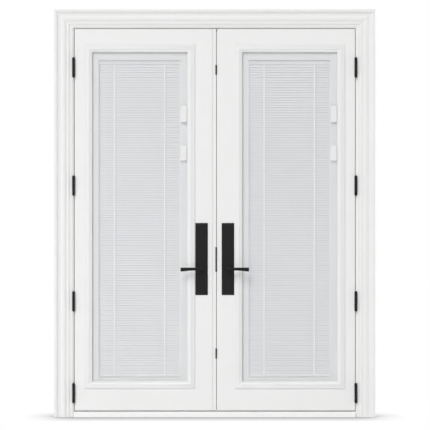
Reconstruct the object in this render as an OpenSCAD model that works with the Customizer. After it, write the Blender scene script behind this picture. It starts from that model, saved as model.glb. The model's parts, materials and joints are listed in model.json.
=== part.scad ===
// Glazed steel double entry door in its frame, seen from the room.
// x runs across the opening, y runs from the room to the outside, z runs up.
// The origin lies on the floor, midway between the jambs, in the plane of the leaves' room faces.

/* [Leaves] */
// Width of one leaf
leaf_w = 874; // [780:1:960]
// Height of one leaf
leaf_h = 2420; // [2200:1:2600]
// Thickness of one leaf
leaf_t = 44.5; // [42:0.5:52]
// Thickness of the steel skins
skin_t = 0.8; // [0.6:0.1:1.2]
// How far each skin folds round the leaf's edges
skin_return = 20; // [12:0.5:20.5]
// Hinge side stile, from the leaf's edge to the visible glass unit
hinge_stile = 112; // [106:1:140]
// Lock side stile, from the leaf's edge to the visible glass unit
lock_stile = 159; // [156:1:190]
// Top rail, from the leaf's top to the visible glass unit
top_rail = 146; // [110:1:200]
// Bottom rail, from the leaf's foot to the visible glass unit
bottom_rail = 186.5; // [140:0.5:260]

/* [Gaps] */
// Gap between leaf and jamb
hinge_gap = 4; // [3:0.1:5]
// Gap between leaf and head
head_gap = 4; // [3:0.1:6]
// Gap between the astragal and the active leaf
meeting_gap = 6; // [5.5:0.1:8]
// Gap between leaf and sill
sill_gap = 8.5; // [7.5:0.1:11]
// Gap left between pieces that move past each other
slip = 0.4; // [0.3:0.05:0.6]
// Radial play of a pin or a neck in its bore
running_play = 0.05; // [0.02:0.01:0.1]

/* [Frame] */
// Thickness of the jambs and the head
jamb_t = 44; // [38:1:60]
// Depth of the jambs through the wall
jamb_d = 116; // [105:1:170]
// How far the stop stands into the opening
stop_proud = 14; // [13:0.5:18]
// Width of the eased edge round the opening
ease_w = 16; // [8:1:24]
// Depth of the eased edge round the opening
ease_d = 7; // [3:0.5:12]
// Room for the seal between leaf and stop
seal_room = 10; // [8:0.5:14]
// Width of the seal strip
seal_w = 9; // [7:0.5:9]
// Height of the sill
sill_h = 34; // [28:1:45]
// How far the sill stands into the room
sill_nose = 8; // [4:0.5:14]
// How far the sill reaches outside from the leaves' room face
sill_d = 140; // [130:1:200]
// Height of the sill's outer edge
sill_lip_h = 16; // [10:1:24]
// Rounding of the sill's room edge
sill_edge_r = 6; // [2:0.5:10]
// Height of the threshold bar above the sill
threshold_h = 5; // [3:0.5:6]
// Width of the threshold bar
threshold_w = 30; // [22:1:36]
// Radius of the holes for the frame screws
fixing_r = 3; // [2.5:0.1:4]

/* [Casing] */
// Width of the moulded casing
casing_w = 96; // [70:1:120]
// Thickness of the casing at its outer band
casing_t = 14; // [10:1:30]
// Jamb face left bare between the casing and a leaf
side_reveal = 28; // [24:1:36]
// Head face left bare between the casing and the leaves
head_reveal = 24; // [20:1:36]

/* [Glass unit] */
// Width of the lite moulding
moulding_w = 51; // [44:1:54]
// How far the lite moulding stands out from the leaf
moulding_t = 10; // [8:0.5:18]
// Height of the moulding's inner edge
moulding_lip = 3; // [1:0.5:6]
// Depth of the glass below the leaf's face
glass_setback = 8; // [5:0.5:9]
// Thickness of one pane
pane_t = 3.2; // [3:0.1:5]
// How far the panes reach behind the moulding
glass_bite = 17; // [12:0.5:18]
// Gap between the panes' edge and the cut-out in the leaf
cutout_gap = 5; // [3:0.5:6]

/* [Blind] */
// Border beside the blind on the slider side
slider_strip = 45; // [43:1:70]
// Border beside the blind on the plain side
plain_strip = 40; // [25:1:70]
// Border above the blind
top_strip = 51; // [30:1:80]
// Border below the blind
bottom_strip = 22; // [15:1:60]
// Distance from slat to slat
slat_pitch = 15.86; // [15.2:0.02:16.4]
// Width of one slat
slat_w = 17.5; // [16.5:0.1:18.5]
// Thickness of one slat
slat_t = 0.5; // [0.4:0.05:0.8]
// Rise of a slat's curved section
slat_crown = 1.3; // [0.6:0.1:2]
// Turn of the slats from level
slat_tilt = 68; // [55:1:72]
// Height of the blind's head rail
headrail_h = 26; // [18:1:34]
// Height of the blind's bottom bar
bar_h = 10; // [8:0.5:14]
// Distance of the ladder tapes from the slats' ends
ladder_inset = 98; // [60:1:150]
// Width of a ladder tape
tape_w = 8; // [2:0.5:12]
// Thickness of a ladder tape
tape_t = 0.9; // [0.7:0.1:1.2]
// Width of the sliders
slider_w = 40; // [30:1:41]
// Height of the upper slider, which tilts the slats
tilt_slider_h = 108; // [80:1:130]
// Height of the lower slider, which lifts the blind
lift_slider_h = 98; // [70:1:120]
// Thickness of the sliders
slider_t = 11; // [8:0.5:14]
// Middle of the upper slider below the visible glass unit's top
tilt_slider_drop = 392; // [300:1:450]
// Middle of the lower slider below the visible glass unit's top
lift_slider_drop = 641; // [590:1:760]

/* [Handles] */
// Width of a handle plate
plate_w = 79; // [60:0.5:79]
// Height of a handle plate
plate_h = 457; // [380:1:520]
// Thickness of a handle plate
plate_t = 9; // [6:0.5:14]
// Width of the bevel round a handle plate
plate_bevel = 9; // [5:0.5:12]
// Distance of the lever's axis from the leaf's lock edge
backset = 68; // [68:0.5:75]
// Height of the lever's axis above the leaf's foot
lever_rise = 898.5; // [820:0.5:1050]
// Height of the lever's axis above the plate's foot
lever_on_plate = 166.5; // [110:0.5:230]
// Reach of a lever from its axis to its tip
lever_reach = 133; // [100:1:160]
// How far a lever stands out from the leaf
lever_proud = 60; // [50:1:70]
// Height of a lever next to the plate
lever_root_h = 18; // [12:0.5:20]
// Height of a lever at its tip
lever_tip_h = 24.5; // [21:0.5:30]
// Thickness of a lever
lever_t = 12; // [8:0.5:16]
// Radius of a lever's neck
neck_r = 9; // [7.5:0.5:11]
// Side of the square spindle
spindle_a = 8; // [6:0.5:10]

/* [Hinges] */
// Height of a hinge
hinge_h = 118; // [90:1:130]
// Diameter of a hinge's knuckles
knuckle_d = 17.5; // [15:0.5:17.5]
// Thickness of a hinge's leaves
hinge_t = 3; // [2.5:0.1:3.5]
// Depth of a hinge's leaves in the edges
hinge_depth = 36; // [28:1:40]
// Diameter of a hinge pin
pin_d = 8; // [6:0.5:9]
// Height of a pin's tips
pin_tip_h = 5.5; // [2:0.5:7]
// Distance of the pin's axis from the leaf's edge
pin_offset = 5.5; // [5:0.1:6]
// Distance of the pin's axis in front of the leaf's face
pin_proud = 9.5; // [9.2:0.1:11]

/* [Locks] */
// Width of the astragal on the passive leaf
astragal_w = 25; // [20:0.5:30]
// Width of the lock strip in the active leaf's edge
strip_w = 22; // [18:0.5:24]
// Thickness of the lock strip
strip_t = 3; // [2:0.1:4]
// Thickness of a lock case
case_t = 18; // [16:0.5:20]
// Depth of the main lock case
case_d = 95; // [92:1:110]
// Height of the main lock case
case_h = 196; // [190:1:240]
// Thickness of the lock bolts
bolt_t = 12; // [9:0.5:13]
// Height of the dead bolt
deadbolt_h = 38; // [28:1:50]
// Height of a tongue bolt
tongue_h = 32; // [24:1:44]
// Length of the lock bolts
bolt_l = 40; // [34:1:46]
// Travel of the bolts either way
bolt_throw = 20; // [14:0.5:21]
// Thickness of the strike plates
strike_t = 2; // [1.5:0.1:2.5]
// Height of the upper and lower strikes
tongue_strike_h = 63; // [56:1:80]
// Height of the middle strike
dead_strike_h = 158; // [110:1:180]
// Diameter of the shoot bolts
rod_d = 12; // [10:0.5:14]
// Length of the shoot bolts
rod_l = 150; // [100:1:160]

/* [Hidden] */

// The two sides, and the steps of rounded stretches
left = -1;
right = 1;
round_steps = 5;
wave_steps = 6;
$fn = 48;
// Overrun of every cut past the face that it opens
cut = 1;

// Places across the opening
pair_half = (2 * leaf_w + astragal_w + meeting_gap) / 2;
jamb_x = pair_half + hinge_gap;
jamb_out = jamb_x + jamb_t;
stop_x = jamb_x - stop_proud;
stop_y = leaf_t + seal_room;
casing_x = jamb_x + side_reveal;
astragal_x = leaf_w - pair_half;
astragal_end = astragal_x + astragal_w;
rod_x = astragal_x + astragal_w / 2;
mid_y = leaf_t / 2;

// Places up the opening
leaf_z = sill_h + sill_gap;
head_z = leaf_z + leaf_h + head_gap;
frame_h = head_z + jamb_t;
casing_z = head_z + head_reveal;
fixing_y = (stop_y + jamb_d) / 2;
fixing_height_shares = [0.1, 0.37, 0.63, 0.9];

// Casing section, from its inner edge to its outer edge, as shares of its width and thickness
casing_small_bead_share = 0.2;
casing_quirk_share = 0.22;
casing_main_bead_share = 0.57;
casing_cove_share = 0.82;
casing_edge_share = 0.16;
casing_small_crown_share = 0.15;
casing_main_base_share = 0.36;
casing_main_crown_share = 0.26;
casing_cove_top_share = 0.7;
casing_band_round_share = 0.1;

// Lite moulding section, from the glass outwards, as shares of its width and thickness
moulding_crest_share = 0.38;
moulding_crest_end_share = 0.44;
moulding_ogee_share = 0.74;
moulding_step_share = 0.9;
moulding_foot_share = 0.6;
moulding_rim_share = 0.2;
moulding_slope_hollow_share = 0.07;

// Visible opening of the glass unit, and the sizes of its pieces
opening_w = leaf_w - hinge_stile - lock_stile;
opening_h = leaf_h - top_rail - bottom_rail;
opening_x = pair_half - hinge_stile - opening_w / 2;
pane_w = opening_w + 2 * glass_bite;
pane_h = opening_h + 2 * glass_bite;
cutout_margin = glass_bite + cutout_gap;
cavity_y = glass_setback + pane_t;
cavity_d = leaf_t - 2 * cavity_y;

// Blind
window_x0 = plain_strip - opening_w / 2;
window_x1 = opening_w / 2 - slider_strip;
window_z0 = bottom_strip;
window_z1 = opening_h - top_strip;
blind_end_gap = 1.5;
blind_l = window_x1 - window_x0 - 2 * blind_end_gap;
headrail_wall = 1.5;
headrail_d_share = 0.36;
bar_d_share = 0.5;
slats_top = window_z1 - headrail_h;
bar_top = window_z0 + blind_end_gap + bar_h;
slat_half_rise = slat_w / 2 * sin(slat_tilt);
slat_half_depth = slat_w / 2 * cos(slat_tilt);
slat_crown_r = (slat_w * slat_w / 4 + slat_crown * slat_crown) / (2 * slat_crown);
slat_half_angle = asin(slat_w / 2 / slat_crown_r);
slat_steps = 3;
slat_first = slats_top - slat_half_rise - slat_crown;
slat_room = slat_first - bar_top - slat_half_rise - slat_crown - slip;
slat_count = floor(slat_room / slat_pitch) + 1;
tape_grip = 0.45;
slider_round = 9;
slider_x = opening_w / 2 - slider_strip / 2;
slider_ramp = 4.5;

// Handles and locks
plate_round_land = 3;
neck_end = lever_proud - lever_t / 2;
lever_heel = 13;
lever_tip_round = 2.5;
lever_taper_share = 0.7;
collar_rim = 5;
collar_r = neck_r + collar_rim;
collar_t = 3;
spindle_grip = 20;
spindle_play = 0.1;
neck_bore_gap = 3;
neck_bore_r = neck_r + neck_bore_gap;
lever_on_lock = 65;
lock_z = lever_rise - lever_on_lock;
tongue_case_d = 66;
tongue_case_h = 76;
strip_end = 60;
bolt_height_shares = [0.1494, 0.3957, 0.8926];
tongue_z = [bolt_height_shares[0] * leaf_h, bolt_height_shares[2] * leaf_h];
dead_z = bolt_height_shares[1] * leaf_h;
lock_reach = [for (side = [left, right])
    side == right ? [tongue_z[0] - strip_end, tongue_z[1] + strip_end] : [lock_z, lock_z + case_h]];
pocket_play = 1;
pocket_d = bolt_throw - meeting_gap + pocket_play;
strike_w = 28;
lip_proud = 3;
lip_wrap = 3;
lip_clear = 2.5;
joint_groove = 4;
edge_seal_w = 6;
edge_seal_clear = 2.4;
rod_play_end = 1;
head_strike_w = 26;
head_strike_l = 64;
keep_r = rod_d / 2 + pocket_play;
keep_d = bolt_throw - head_gap + rod_play_end;

// Hinges: five knuckles, of which the frame leaf has three
knuckle_count = 5;
knuckle_gap = 0.4;
knuckle_h = (hinge_h - (knuckle_count - 1) * knuckle_gap) / knuckle_count;
knuckle_r = knuckle_d / 2;
pin_x = pair_half + pin_offset;
tip_share = 0.86;
tip_r = knuckle_r * tip_share;
hinge_height_shares = [0.0457, 0.2862, 0.5895, 0.899];
hinge_z = [for (s = hinge_height_shares) leaf_z + s * leaf_h];

// Sweep under a leaf
sweep_w = 34;
sweep_fins = 4;
sweep_base_share = 0.4;
sweep_h = sill_gap - threshold_h - slip;

// Colours
paint_white = [0.93, 0.93, 0.93];
vinyl_white = [0.89, 0.9, 0.9];
slat_white = [0.85, 0.86, 0.87];
strip_grey = [0.86, 0.87, 0.87];
hardware_black = [0.12, 0.12, 0.125];
seal_grey = [0.35, 0.35, 0.35];
foam_cream = [0.93, 0.88, 0.72];
glass_tint = [0.75, 0.85, 0.87, 0.35];
bolt_steel = [0.62, 0.63, 0.65];

// Points on an arc
function arc(centre, r, from, to, steps) =
    [for (i = [0 : steps]) let (a = from + (to - from) * i / steps) centre + r * [cos(a), sin(a)]];

// Points of a round bump on a base line from one place to another
function bump(from, to, base, rise) =
    [for (i = [0 : wave_steps]) let (s = i / wave_steps)
        [from + (to - from) * s, base + rise * sin(180 * s)]];

// Points of an easy S between two levels
function ogee(from, to, start, end) =
    [for (i = [0 : wave_steps]) let (s = i / wave_steps)
        [from + (to - from) * s, start + (end - start) * (1 - cos(180 * s)) / 2]];

// Points of a hollow that starts flat and ends steep
function cove(from, to, start, end) =
    [for (i = [0 : wave_steps]) let (s = i / wave_steps)
        [from + (to - from) * s, start + (end - start) * (1 - cos(90 * s))]];

// Points of a strip with a half round nose, about the middle of its foot
function bulb(width, rise) =
    concat([[width / 2, 0]], arc([0, rise - width / 2], width / 2, 0, 180, wave_steps), [[-width / 2, 0]]);

// A shape for the right hand side, or its mirror image on the left
module on_side(side) {
    mirror([side == left ? 1 : 0, 0, 0]) children();
}

// Leaf places: x from the hinge edge, y from the room face, z from the foot
module on_leaf(side) {
    translate([side * pair_half, 0, leaf_z])
        mirror([side == right ? 1 : 0, 0, 0]) children();
}

// Glass unit places: x from the middle of the opening, z from its lower edge
module on_opening(side) {
    translate([side * opening_x, 0, leaf_z + bottom_rail]) children();
}

// The room side shape as it is, or turned over to the outer face
module on_face(outer) {
    translate([0, outer ? leaf_t : 0, 0])
        mirror([0, outer ? 1 : 0, 0]) children();
}

// A section drawn as depth and height, run along x about the middle
module along_x(length) {
    translate([-length / 2, 0, 0])
        rotate([90, 0, 90]) linear_extrude(length) children();
}

// An outline drawn as width and height, run along y
module along_y(from, to) {
    translate([0, to, 0])
        rotate([90, 0, 0]) linear_extrude(to - from) children();
}

// A rectangle with rounded corners about its middle
module rounded(w, h, r) {
    x = w / 2 - r;
    z = h / 2 - r;
    polygon(concat(
        arc([x, z], r, 0, 90, round_steps), arc([-x, z], r, 90, 180, round_steps),
        arc([-x, -z], r, 180, 270, round_steps), arc([x, -z], r, 270, 360, round_steps)));
}

// Frame

// What an eased edge takes away, outwards from the opening and back from the room face
module ease_section() {
    polygon(concat([[-cut, -cut], [-cut, ease_d]],
        [for (i = [0 : wave_steps]) let (s = i / wave_steps) [ease_w * s, ease_d * (1 - s) * (1 - s)]],
        [[ease_w, -cut]]));
}

// The eased edge along the head
module head_ease(length) {
    translate([0, 0, head_z]) along_x(length) mirror([1, -1, 0]) ease_section();
}

// The eased edge along a jamb, mitred into the one along the head
module jamb_ease() {
    intersection() {
        translate([jamb_x, 0, -cut]) linear_extrude(frame_h + 2 * cut) ease_section();
        union() {
            translate([jamb_x - cut, -cut, -cut]) cube([ease_w + 2 * cut, ease_d + 2 * cut, head_z + cut]);
            head_ease(2 * jamb_out);
        }
    }
}

module jamb(side) {
    color(paint_white) on_side(side) difference() {
        linear_extrude(frame_h) polygon([[jamb_x, 0], [jamb_out, 0], [jamb_out, jamb_d],
            [stop_x, jamb_d], [stop_x, stop_y], [jamb_x, stop_y]]);
        jamb_ease();
        translate([stop_x - cut, stop_y - cut, head_z])
            cube([stop_proud + cut, jamb_d - stop_y + 2 * cut, jamb_t + cut]);
        for (z = hinge_z) translate([jamb_x - cut, -cut, z - hinge_h / 2])
            cube([hinge_t + cut, hinge_depth + cut, hinge_h]);
        for (s = fixing_height_shares) translate([stop_x - cut, fixing_y, s * frame_h])
            rotate([0, 90, 0]) cylinder(h = jamb_t + stop_proud + 2 * cut, r = fixing_r);
    }
}

module head_jamb() {
    color(paint_white) difference() {
        union() {
            translate([-jamb_x, 0, head_z]) cube([2 * jamb_x, jamb_d, jamb_t]);
            translate([-stop_x, stop_y, head_z - stop_proud])
                cube([2 * stop_x, jamb_d - stop_y, stop_proud]);
        }
        head_ease(2 * jamb_out);
        translate([rod_x - head_strike_l / 2, mid_y - head_strike_w / 2, head_z - cut])
            cube([head_strike_l, head_strike_w, strike_t + cut]);
        translate([rod_x, mid_y, head_z - cut]) cylinder(h = keep_d + strike_t + cut, r = keep_r);
    }
}

module head_strike() {
    color(hardware_black) translate([rod_x, mid_y, head_z]) difference() {
        linear_extrude(strike_t) rounded(head_strike_l, head_strike_w, keep_r / 2);
        translate([0, 0, -cut]) cylinder(h = strike_t + 2 * cut, r = keep_r);
    }
}

module sill() {
    color(vinyl_white) difference() {
        along_x(2 * jamb_x) polygon(concat(
            [[sill_d, 0], [sill_d, sill_lip_h], [stop_y, sill_h]],
            arc([sill_edge_r - sill_nose, sill_h - sill_edge_r], sill_edge_r, 90, 180, round_steps),
            [[-sill_nose, 0]]));
        for (side = [left, right]) on_side(side) translate([stop_x, stop_y, -cut])
            cube([stop_proud + cut, sill_d, sill_h + 2 * cut]);
        translate([rod_x, mid_y, sill_h - keep_d]) cylinder(h = keep_d + cut, r = keep_r);
    }
}

module threshold() {
    half = threshold_w / 2;
    slope = threshold_h;
    color(strip_grey) translate([0, mid_y, sill_h]) difference() {
        along_x(2 * jamb_x) polygon([[-half, 0], [half, 0], [half, threshold_h / 2],
            [half - slope, threshold_h], [slope - half, threshold_h], [-half, threshold_h / 2]]);
        translate([rod_x, 0, -cut]) cylinder(h = threshold_h + 2 * cut, r = keep_r);
    }
}

// Casing section: width outwards from the inner edge, height out from the wall
module casing_section() {
    w = casing_w;
    t = casing_t;
    band_r = t * casing_band_round_share;
    quirk = casing_quirk_share * w;
    main = casing_main_bead_share * w;
    edge = casing_cove_share * w;
    polygon(concat(
        [[0, 0]],
        bump(0, casing_small_bead_share * w, casing_edge_share * t, casing_small_crown_share * t),
        [[quirk, casing_edge_share * t]],
        bump(quirk, main, casing_main_base_share * t, casing_main_crown_share * t),
        cove(main, edge, casing_main_base_share * t, casing_cove_top_share * t),
        arc([edge + band_r, t - band_r], band_r, 180, 90, round_steps),
        arc([w - band_r, t - band_r], band_r, 90, 0, round_steps),
        [[w, 0]]));
}

module side_casing(side) {
    top = casing_z + casing_w;
    color(paint_white) on_side(side) difference() {
        translate([casing_x, 0, 0]) linear_extrude(top) mirror([0, 1, 0]) casing_section();
        along_y(-casing_t - cut, cut) polygon([[casing_x - cut, casing_z - cut],
            [casing_x + casing_w + cut, top + cut], [casing_x - cut, top + cut]]);
    }
}

module head_casing() {
    reach = casing_x + casing_w;
    color(paint_white) intersection() {
        translate([0, 0, casing_z]) along_x(2 * reach) rotate(90) casing_section();
        along_y(-casing_t - cut, cut) polygon([[-casing_x, casing_z], [casing_x, casing_z],
            [reach, casing_z + casing_w], [-reach, casing_z + casing_w]]);
    }
}

// Seal section: a strip on the stop with a round nose towards the leaf
module seal_section() {
    polygon(bulb(seal_w, seal_room - slip));
}

module side_seals() {
    color(seal_grey) for (side = [left, right]) on_side(side)
        translate([(stop_x + pair_half) / 2, stop_y, sill_h])
            linear_extrude(head_z - sill_h) mirror([0, 1, 0]) seal_section();
}

module head_seal() {
    color(seal_grey) translate([0, stop_y, head_z - (stop_proud + head_gap) / 2])
        along_x(stop_x + pair_half - seal_w) rotate(90) seal_section();
}

// Hinges

// The knuckles of one hinge leaf, about the pin's axis, from the hinge's foot up
module knuckles(first) {
    for (i = [first : 2 : knuckle_count - 1]) translate([0, 0, i * (knuckle_h + knuckle_gap)])
        cylinder(h = knuckle_h, r = knuckle_r);
}

// One hinge leaf about the pin's axis: a plate in the edge and its knuckles
module hinge_leaf(plate_x, first) {
    clear = knuckle_r + knuckle_gap;
    plate_end = pin_proud + hinge_depth;
    difference() {
        union() {
            translate([plate_x, clear, 0]) cube([hinge_t, plate_end - clear, hinge_h]);
            for (i = [first : 2 : knuckle_count - 1])
                translate([plate_x, 0, i * (knuckle_h + knuckle_gap)])
                    cube([hinge_t, plate_end, knuckle_h]);
            knuckles(first);
        }
        translate([0, 0, -cut]) cylinder(h = hinge_h + 2 * cut, r = pin_d / 2 + running_play);
    }
}

module at_hinges(side) {
    for (z = hinge_z) on_side(side) translate([pin_x, -pin_proud, z - hinge_h / 2]) children();
}

module frame_hinge_leaves() {
    color(hardware_black) for (side = [left, right]) at_hinges(side)
        hinge_leaf(jamb_x - pin_x, 0);
}

module leaf_hinges(side) {
    color(hardware_black) at_hinges(side) hinge_leaf(pair_half - hinge_t - pin_x, 1);
}

// A pin with a turned tip at each end
module hinge_pins() {
    r = pin_d / 2;
    full = hinge_h + pin_tip_h;
    color(hardware_black) for (side = [left, right]) at_hinges(side)
        rotate_extrude() polygon(concat(
            [[0, -pin_tip_h], [tip_r / 2, -pin_tip_h], [tip_r, -pin_tip_h / 2], [tip_r, 0], [r, 0]],
            [[r, hinge_h], [tip_r, hinge_h], [tip_r, full - pin_tip_h / 2], [tip_r / 2, full], [0, full]]));
}

// Leaves

// Recesses for the leaf's hinges, in leaf places
module hinge_gains() {
    for (s = hinge_height_shares) translate([-cut, -cut, s * leaf_h - hinge_h / 2])
        cube([hinge_t + cut, hinge_depth + cut, hinge_h]);
}

// The lock's outer form in leaf places, or the pocket that holds it, with its play and open mouth
module lock_form(side, play, mouth) {
    reach = lock_reach[side == right ? 1 : 0];
    translate([leaf_w - strip_t - play, mid_y - strip_w / 2 - play, reach[0] - play])
        cube([strip_t + play + mouth, strip_w + 2 * play, reach[1] - reach[0] + 2 * play]);
    translate([leaf_w - strip_t - case_d - play, mid_y - case_t / 2 - play, lock_z - play])
        cube([case_d + play, case_t + 2 * play, case_h + 2 * play]);
    if (side == right) for (z = tongue_z)
        translate([leaf_w - strip_t - tongue_case_d - play, mid_y - case_t / 2 - play,
            z - tongue_case_h / 2 - play])
            cube([tongue_case_d + play, case_t + 2 * play, tongue_case_h + 2 * play]);
}

// Everything that is cut out of a leaf's skins and core
module leaf_cuts(side) {
    translate([hinge_stile - cutout_margin, -cut, bottom_rail - cutout_margin])
        cube([opening_w + 2 * cutout_margin, leaf_t + 2 * cut, opening_h + 2 * cutout_margin]);
    hinge_gains();
    lock_form(side, slip, cut);
    translate([leaf_w - backset, -cut, lever_rise]) rotate([-90, 0, 0])
        cylinder(h = leaf_t + 2 * cut, r = neck_bore_r);
}

// A folded steel tray: the face and its returns round the leaf's edges
module skin(side, outer) {
    color(paint_white) on_leaf(side) difference() {
        on_face(outer) difference() {
            cube([leaf_w, skin_return, leaf_h]);
            translate([skin_t, skin_t, skin_t])
                cube([leaf_w - 2 * skin_t, skin_return, leaf_h - 2 * skin_t]);
        }
        leaf_cuts(side);
    }
}

module core(side) {
    color(foam_cream) on_leaf(side) difference() {
        translate([skin_t, skin_t, skin_t])
            cube([leaf_w - 2 * skin_t, leaf_t - 2 * skin_t, leaf_h - 2 * skin_t]);
        leaf_cuts(side);
    }
}

// A strip under the leaf with fins that brush the threshold
module sweep(side) {
    base = sweep_h * sweep_base_share;
    fin = sweep_w / (2 * sweep_fins - 1);
    color(seal_grey) on_leaf(side) translate([leaf_w / 2, mid_y - sweep_w / 2, 0]) {
        translate([0, 0, -base]) along_x(leaf_w) square([sweep_w, base]);
        for (i = [0 : sweep_fins - 1]) translate([0, 2 * i * fin, -sweep_h])
            along_x(leaf_w) square([fin, sweep_h - base]);
    }
}

// Glass unit

// Lite frame section: width outwards from the visible glass, height out from the leaf,
// with the leg that lines the cut-out down to the pane
function lite_section() =
    let (w = moulding_w, t = moulding_t, leg = cutout_margin - slip)
    let (crest = moulding_crest_share * w, rise = t - moulding_lip, dip = moulding_slope_hollow_share * t)
    concat(
        [[leg, 0], [leg, -glass_setback], [0, -glass_setback], [0, moulding_lip]],
        [for (i = [1 : wave_steps]) let (s = i / wave_steps)
            [crest * s, moulding_lip + rise * s - dip * sin(180 * s)]],
        ogee(moulding_crest_end_share * w, moulding_ogee_share * w, t, moulding_foot_share * t),
        [[moulding_step_share * w, moulding_foot_share * t],
            [moulding_step_share * w, moulding_rim_share * t],
            [w, moulding_rim_share * t / 2], [w, 0]]);

// The lite frame: its section run round the opening with mitred corners
module lite_frame(side, outer) {
    section = lite_section();
    count = len(section);
    corners = [[left, left], [right, left], [right, right], [left, right]];
    color(paint_white) on_opening(side) on_face(outer) translate([0, 0, opening_h / 2]) polyhedron(
        points = [for (corner = corners, p = section)
            [corner[0] * (opening_w / 2 + p[0]), -p[1], corner[1] * (opening_h / 2 + p[0])]],
        faces = [for (k = [0 : len(corners) - 1], i = [0 : count - 1])
            let (here = k * count, next = (k + 1) % len(corners) * count, j = (i + 1) % count)
            [here + i, here + j, next + j, next + i]]);
}

module glass(side, outer) {
    color(glass_tint) on_opening(side) on_face(outer)
        translate([-pane_w / 2, glass_setback, -glass_bite]) cube([pane_w, pane_t, pane_h]);
}

// The frame between the panes that holds the blind
module cassette(side) {
    color(strip_grey) on_opening(side) difference() {
        translate([-pane_w / 2, cavity_y, -glass_bite]) cube([pane_w, cavity_d, pane_h]);
        translate([window_x0, cavity_y - cut, window_z0])
            cube([window_x1 - window_x0, cavity_d + 2 * cut, window_z1 - window_z0]);
    }
}

// Blind places: x and y from the middle of the blind
module on_blind(side) {
    on_opening(side) translate([(window_x0 + window_x1) / 2, mid_y, 0]) children();
}

module headrail(side) {
    d = cavity_d * headrail_d_share;
    color(slat_white) on_blind(side) translate([0, -d / 2, slats_top]) along_x(blind_l) difference() {
        square([d, headrail_h]);
        translate([headrail_wall, headrail_wall])
            square([d - 2 * headrail_wall, headrail_h - 2 * headrail_wall]);
    }
}

// A slat's crowned section across its width, level, about its middle
module slat_section() {
    inner = slat_crown_r - slat_t;
    centre = [0, slat_crown / 2 - slat_crown_r];
    polygon(concat(
        arc(centre, slat_crown_r, 90 - slat_half_angle, 90 + slat_half_angle, slat_steps),
        arc(centre, inner, 90 + slat_half_angle, 90 - slat_half_angle, slat_steps)));
}

// The slats in one piece with the ladder tapes that carry them
module slats(side) {
    tape_x = blind_l / 2 - ladder_inset;
    edge_shift = slat_crown / 2 * sin(slat_tilt);
    tape_half = slat_half_depth + tape_t / 2 - tape_grip;
    color(slat_white) on_blind(side) {
        for (i = [0 : slat_count - 1]) translate([0, 0, slat_first - i * slat_pitch])
            along_x(blind_l) rotate(slat_tilt) slat_section();
        for (x = [-tape_x, tape_x], y = [edge_shift - tape_half, edge_shift + tape_half])
            translate([x - tape_w / 2, y - tape_t / 2, bar_top + slip])
                cube([tape_w, tape_t, slats_top - bar_top - slip]);
    }
}

module bottom_bar(side) {
    d = cavity_d * bar_d_share;
    color(slat_white) on_blind(side) translate([0, 0, bar_top - bar_h / 2])
        along_x(blind_l) rounded(d, bar_h, bar_h / 4);
}

// A slider on the glass: a rounded block whose face ramps out to its foot, for a finger
module slider(side, height, drop) {
    half = height / 2;
    color(paint_white) on_opening(side)
        translate([slider_x, glass_setback - slip, opening_h - drop]) intersection() {
            along_y(-slider_t, 0) rounded(slider_w, height, slider_round);
            along_x(slider_w) polygon([[0, -half], [-slider_t, -half], [slider_ramp - slider_t, half],
                [0, half]]);
        }
}

// Handles

// A plate with a bevel on all four sides, in leaf places
module handle_plate(side, outer) {
    half_w = plate_w / 2;
    low = lever_rise - lever_on_plate;
    land = plate_round_land;
    color(hardware_black) on_leaf(side) on_face(outer) difference() {
        intersection() {
            translate([leaf_w - backset, 0, low]) linear_extrude(plate_h) polygon([[-half_w, 0],
                [half_w, 0], [half_w, -land], [half_w - plate_bevel, -plate_t],
                [plate_bevel - half_w, -plate_t], [-half_w, -land]]);
            translate([leaf_w - backset, 0, low]) along_x(plate_w) polygon([[0, 0], [0, plate_h],
                [-land, plate_h], [-plate_t, plate_h - plate_bevel], [-plate_t, plate_bevel], [-land, 0]]);
        }
        translate([leaf_w - backset, cut, lever_rise]) rotate([90, 0, 0])
            cylinder(h = plate_t + 2 * cut, r = neck_r + running_play);
    }
}

// Lever outline from its axis to its tip: a straight top edge and a grip that widens to the tip
module lever_outline() {
    top = lever_root_h / 2;
    low = top - lever_tip_h;
    r = lever_tip_round;
    polygon(concat(
        [[-lever_heel, -top], [-lever_heel, top]],
        arc([lever_reach - r, top - r], r, 90, 0, round_steps),
        arc([lever_reach - r, low + r], r, 0, -90, round_steps),
        [[lever_reach * lever_taper_share, low + r / 2], [lever_heel, -top]]));
}

// A lever on its neck, in leaf places at its axis, reaching towards the hinges
module lever_body() {
    inner = lever_proud - lever_t;
    tip_in = lever_proud - lever_t * lever_taper_share;
    mirror([1, 0, 0]) intersection() {
        along_y(-lever_proud, -inner) lever_outline();
        translate([0, 0, -lever_tip_h]) linear_extrude(2 * lever_tip_h) polygon([[-lever_heel, -inner],
            [-lever_heel, -lever_proud], [lever_reach, -lever_proud], [lever_reach, -tip_in],
            [lever_heel, -inner]]);
    }
    rotate([90, 0, 0]) cylinder(h = neck_end, r = neck_r);
    translate([0, -plate_t - slip, 0]) rotate([90, 0, 0]) cylinder(h = collar_t, r = collar_r);
}

module inner_lever(side) {
    socket = spindle_a + 2 * spindle_play;
    color(hardware_black) on_leaf(side) translate([leaf_w - backset, 0, lever_rise]) difference() {
        lever_body();
        translate([-socket / 2, -spindle_grip - spindle_play, -socket / 2])
            cube([socket, spindle_grip + spindle_play + cut, socket]);
    }
}

// The outer lever carries the square spindle
module outer_lever(side) {
    color(hardware_black) on_leaf(side) translate([leaf_w - backset, 0, lever_rise]) {
        on_face(true) lever_body();
        translate([-spindle_a / 2, -spindle_grip, -spindle_a / 2])
            cube([spindle_a, leaf_t + spindle_grip + neck_end / 2, spindle_a]);
    }
}

// Locks

// The channel of one bolt through a case and its strip
module bolt_channel(z, height, depth) {
    translate([leaf_w - depth, mid_y - bolt_t / 2 - slip, z - height / 2 - slip])
        cube([depth + cut, bolt_t + 2 * slip, height + 2 * slip]);
}

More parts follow.
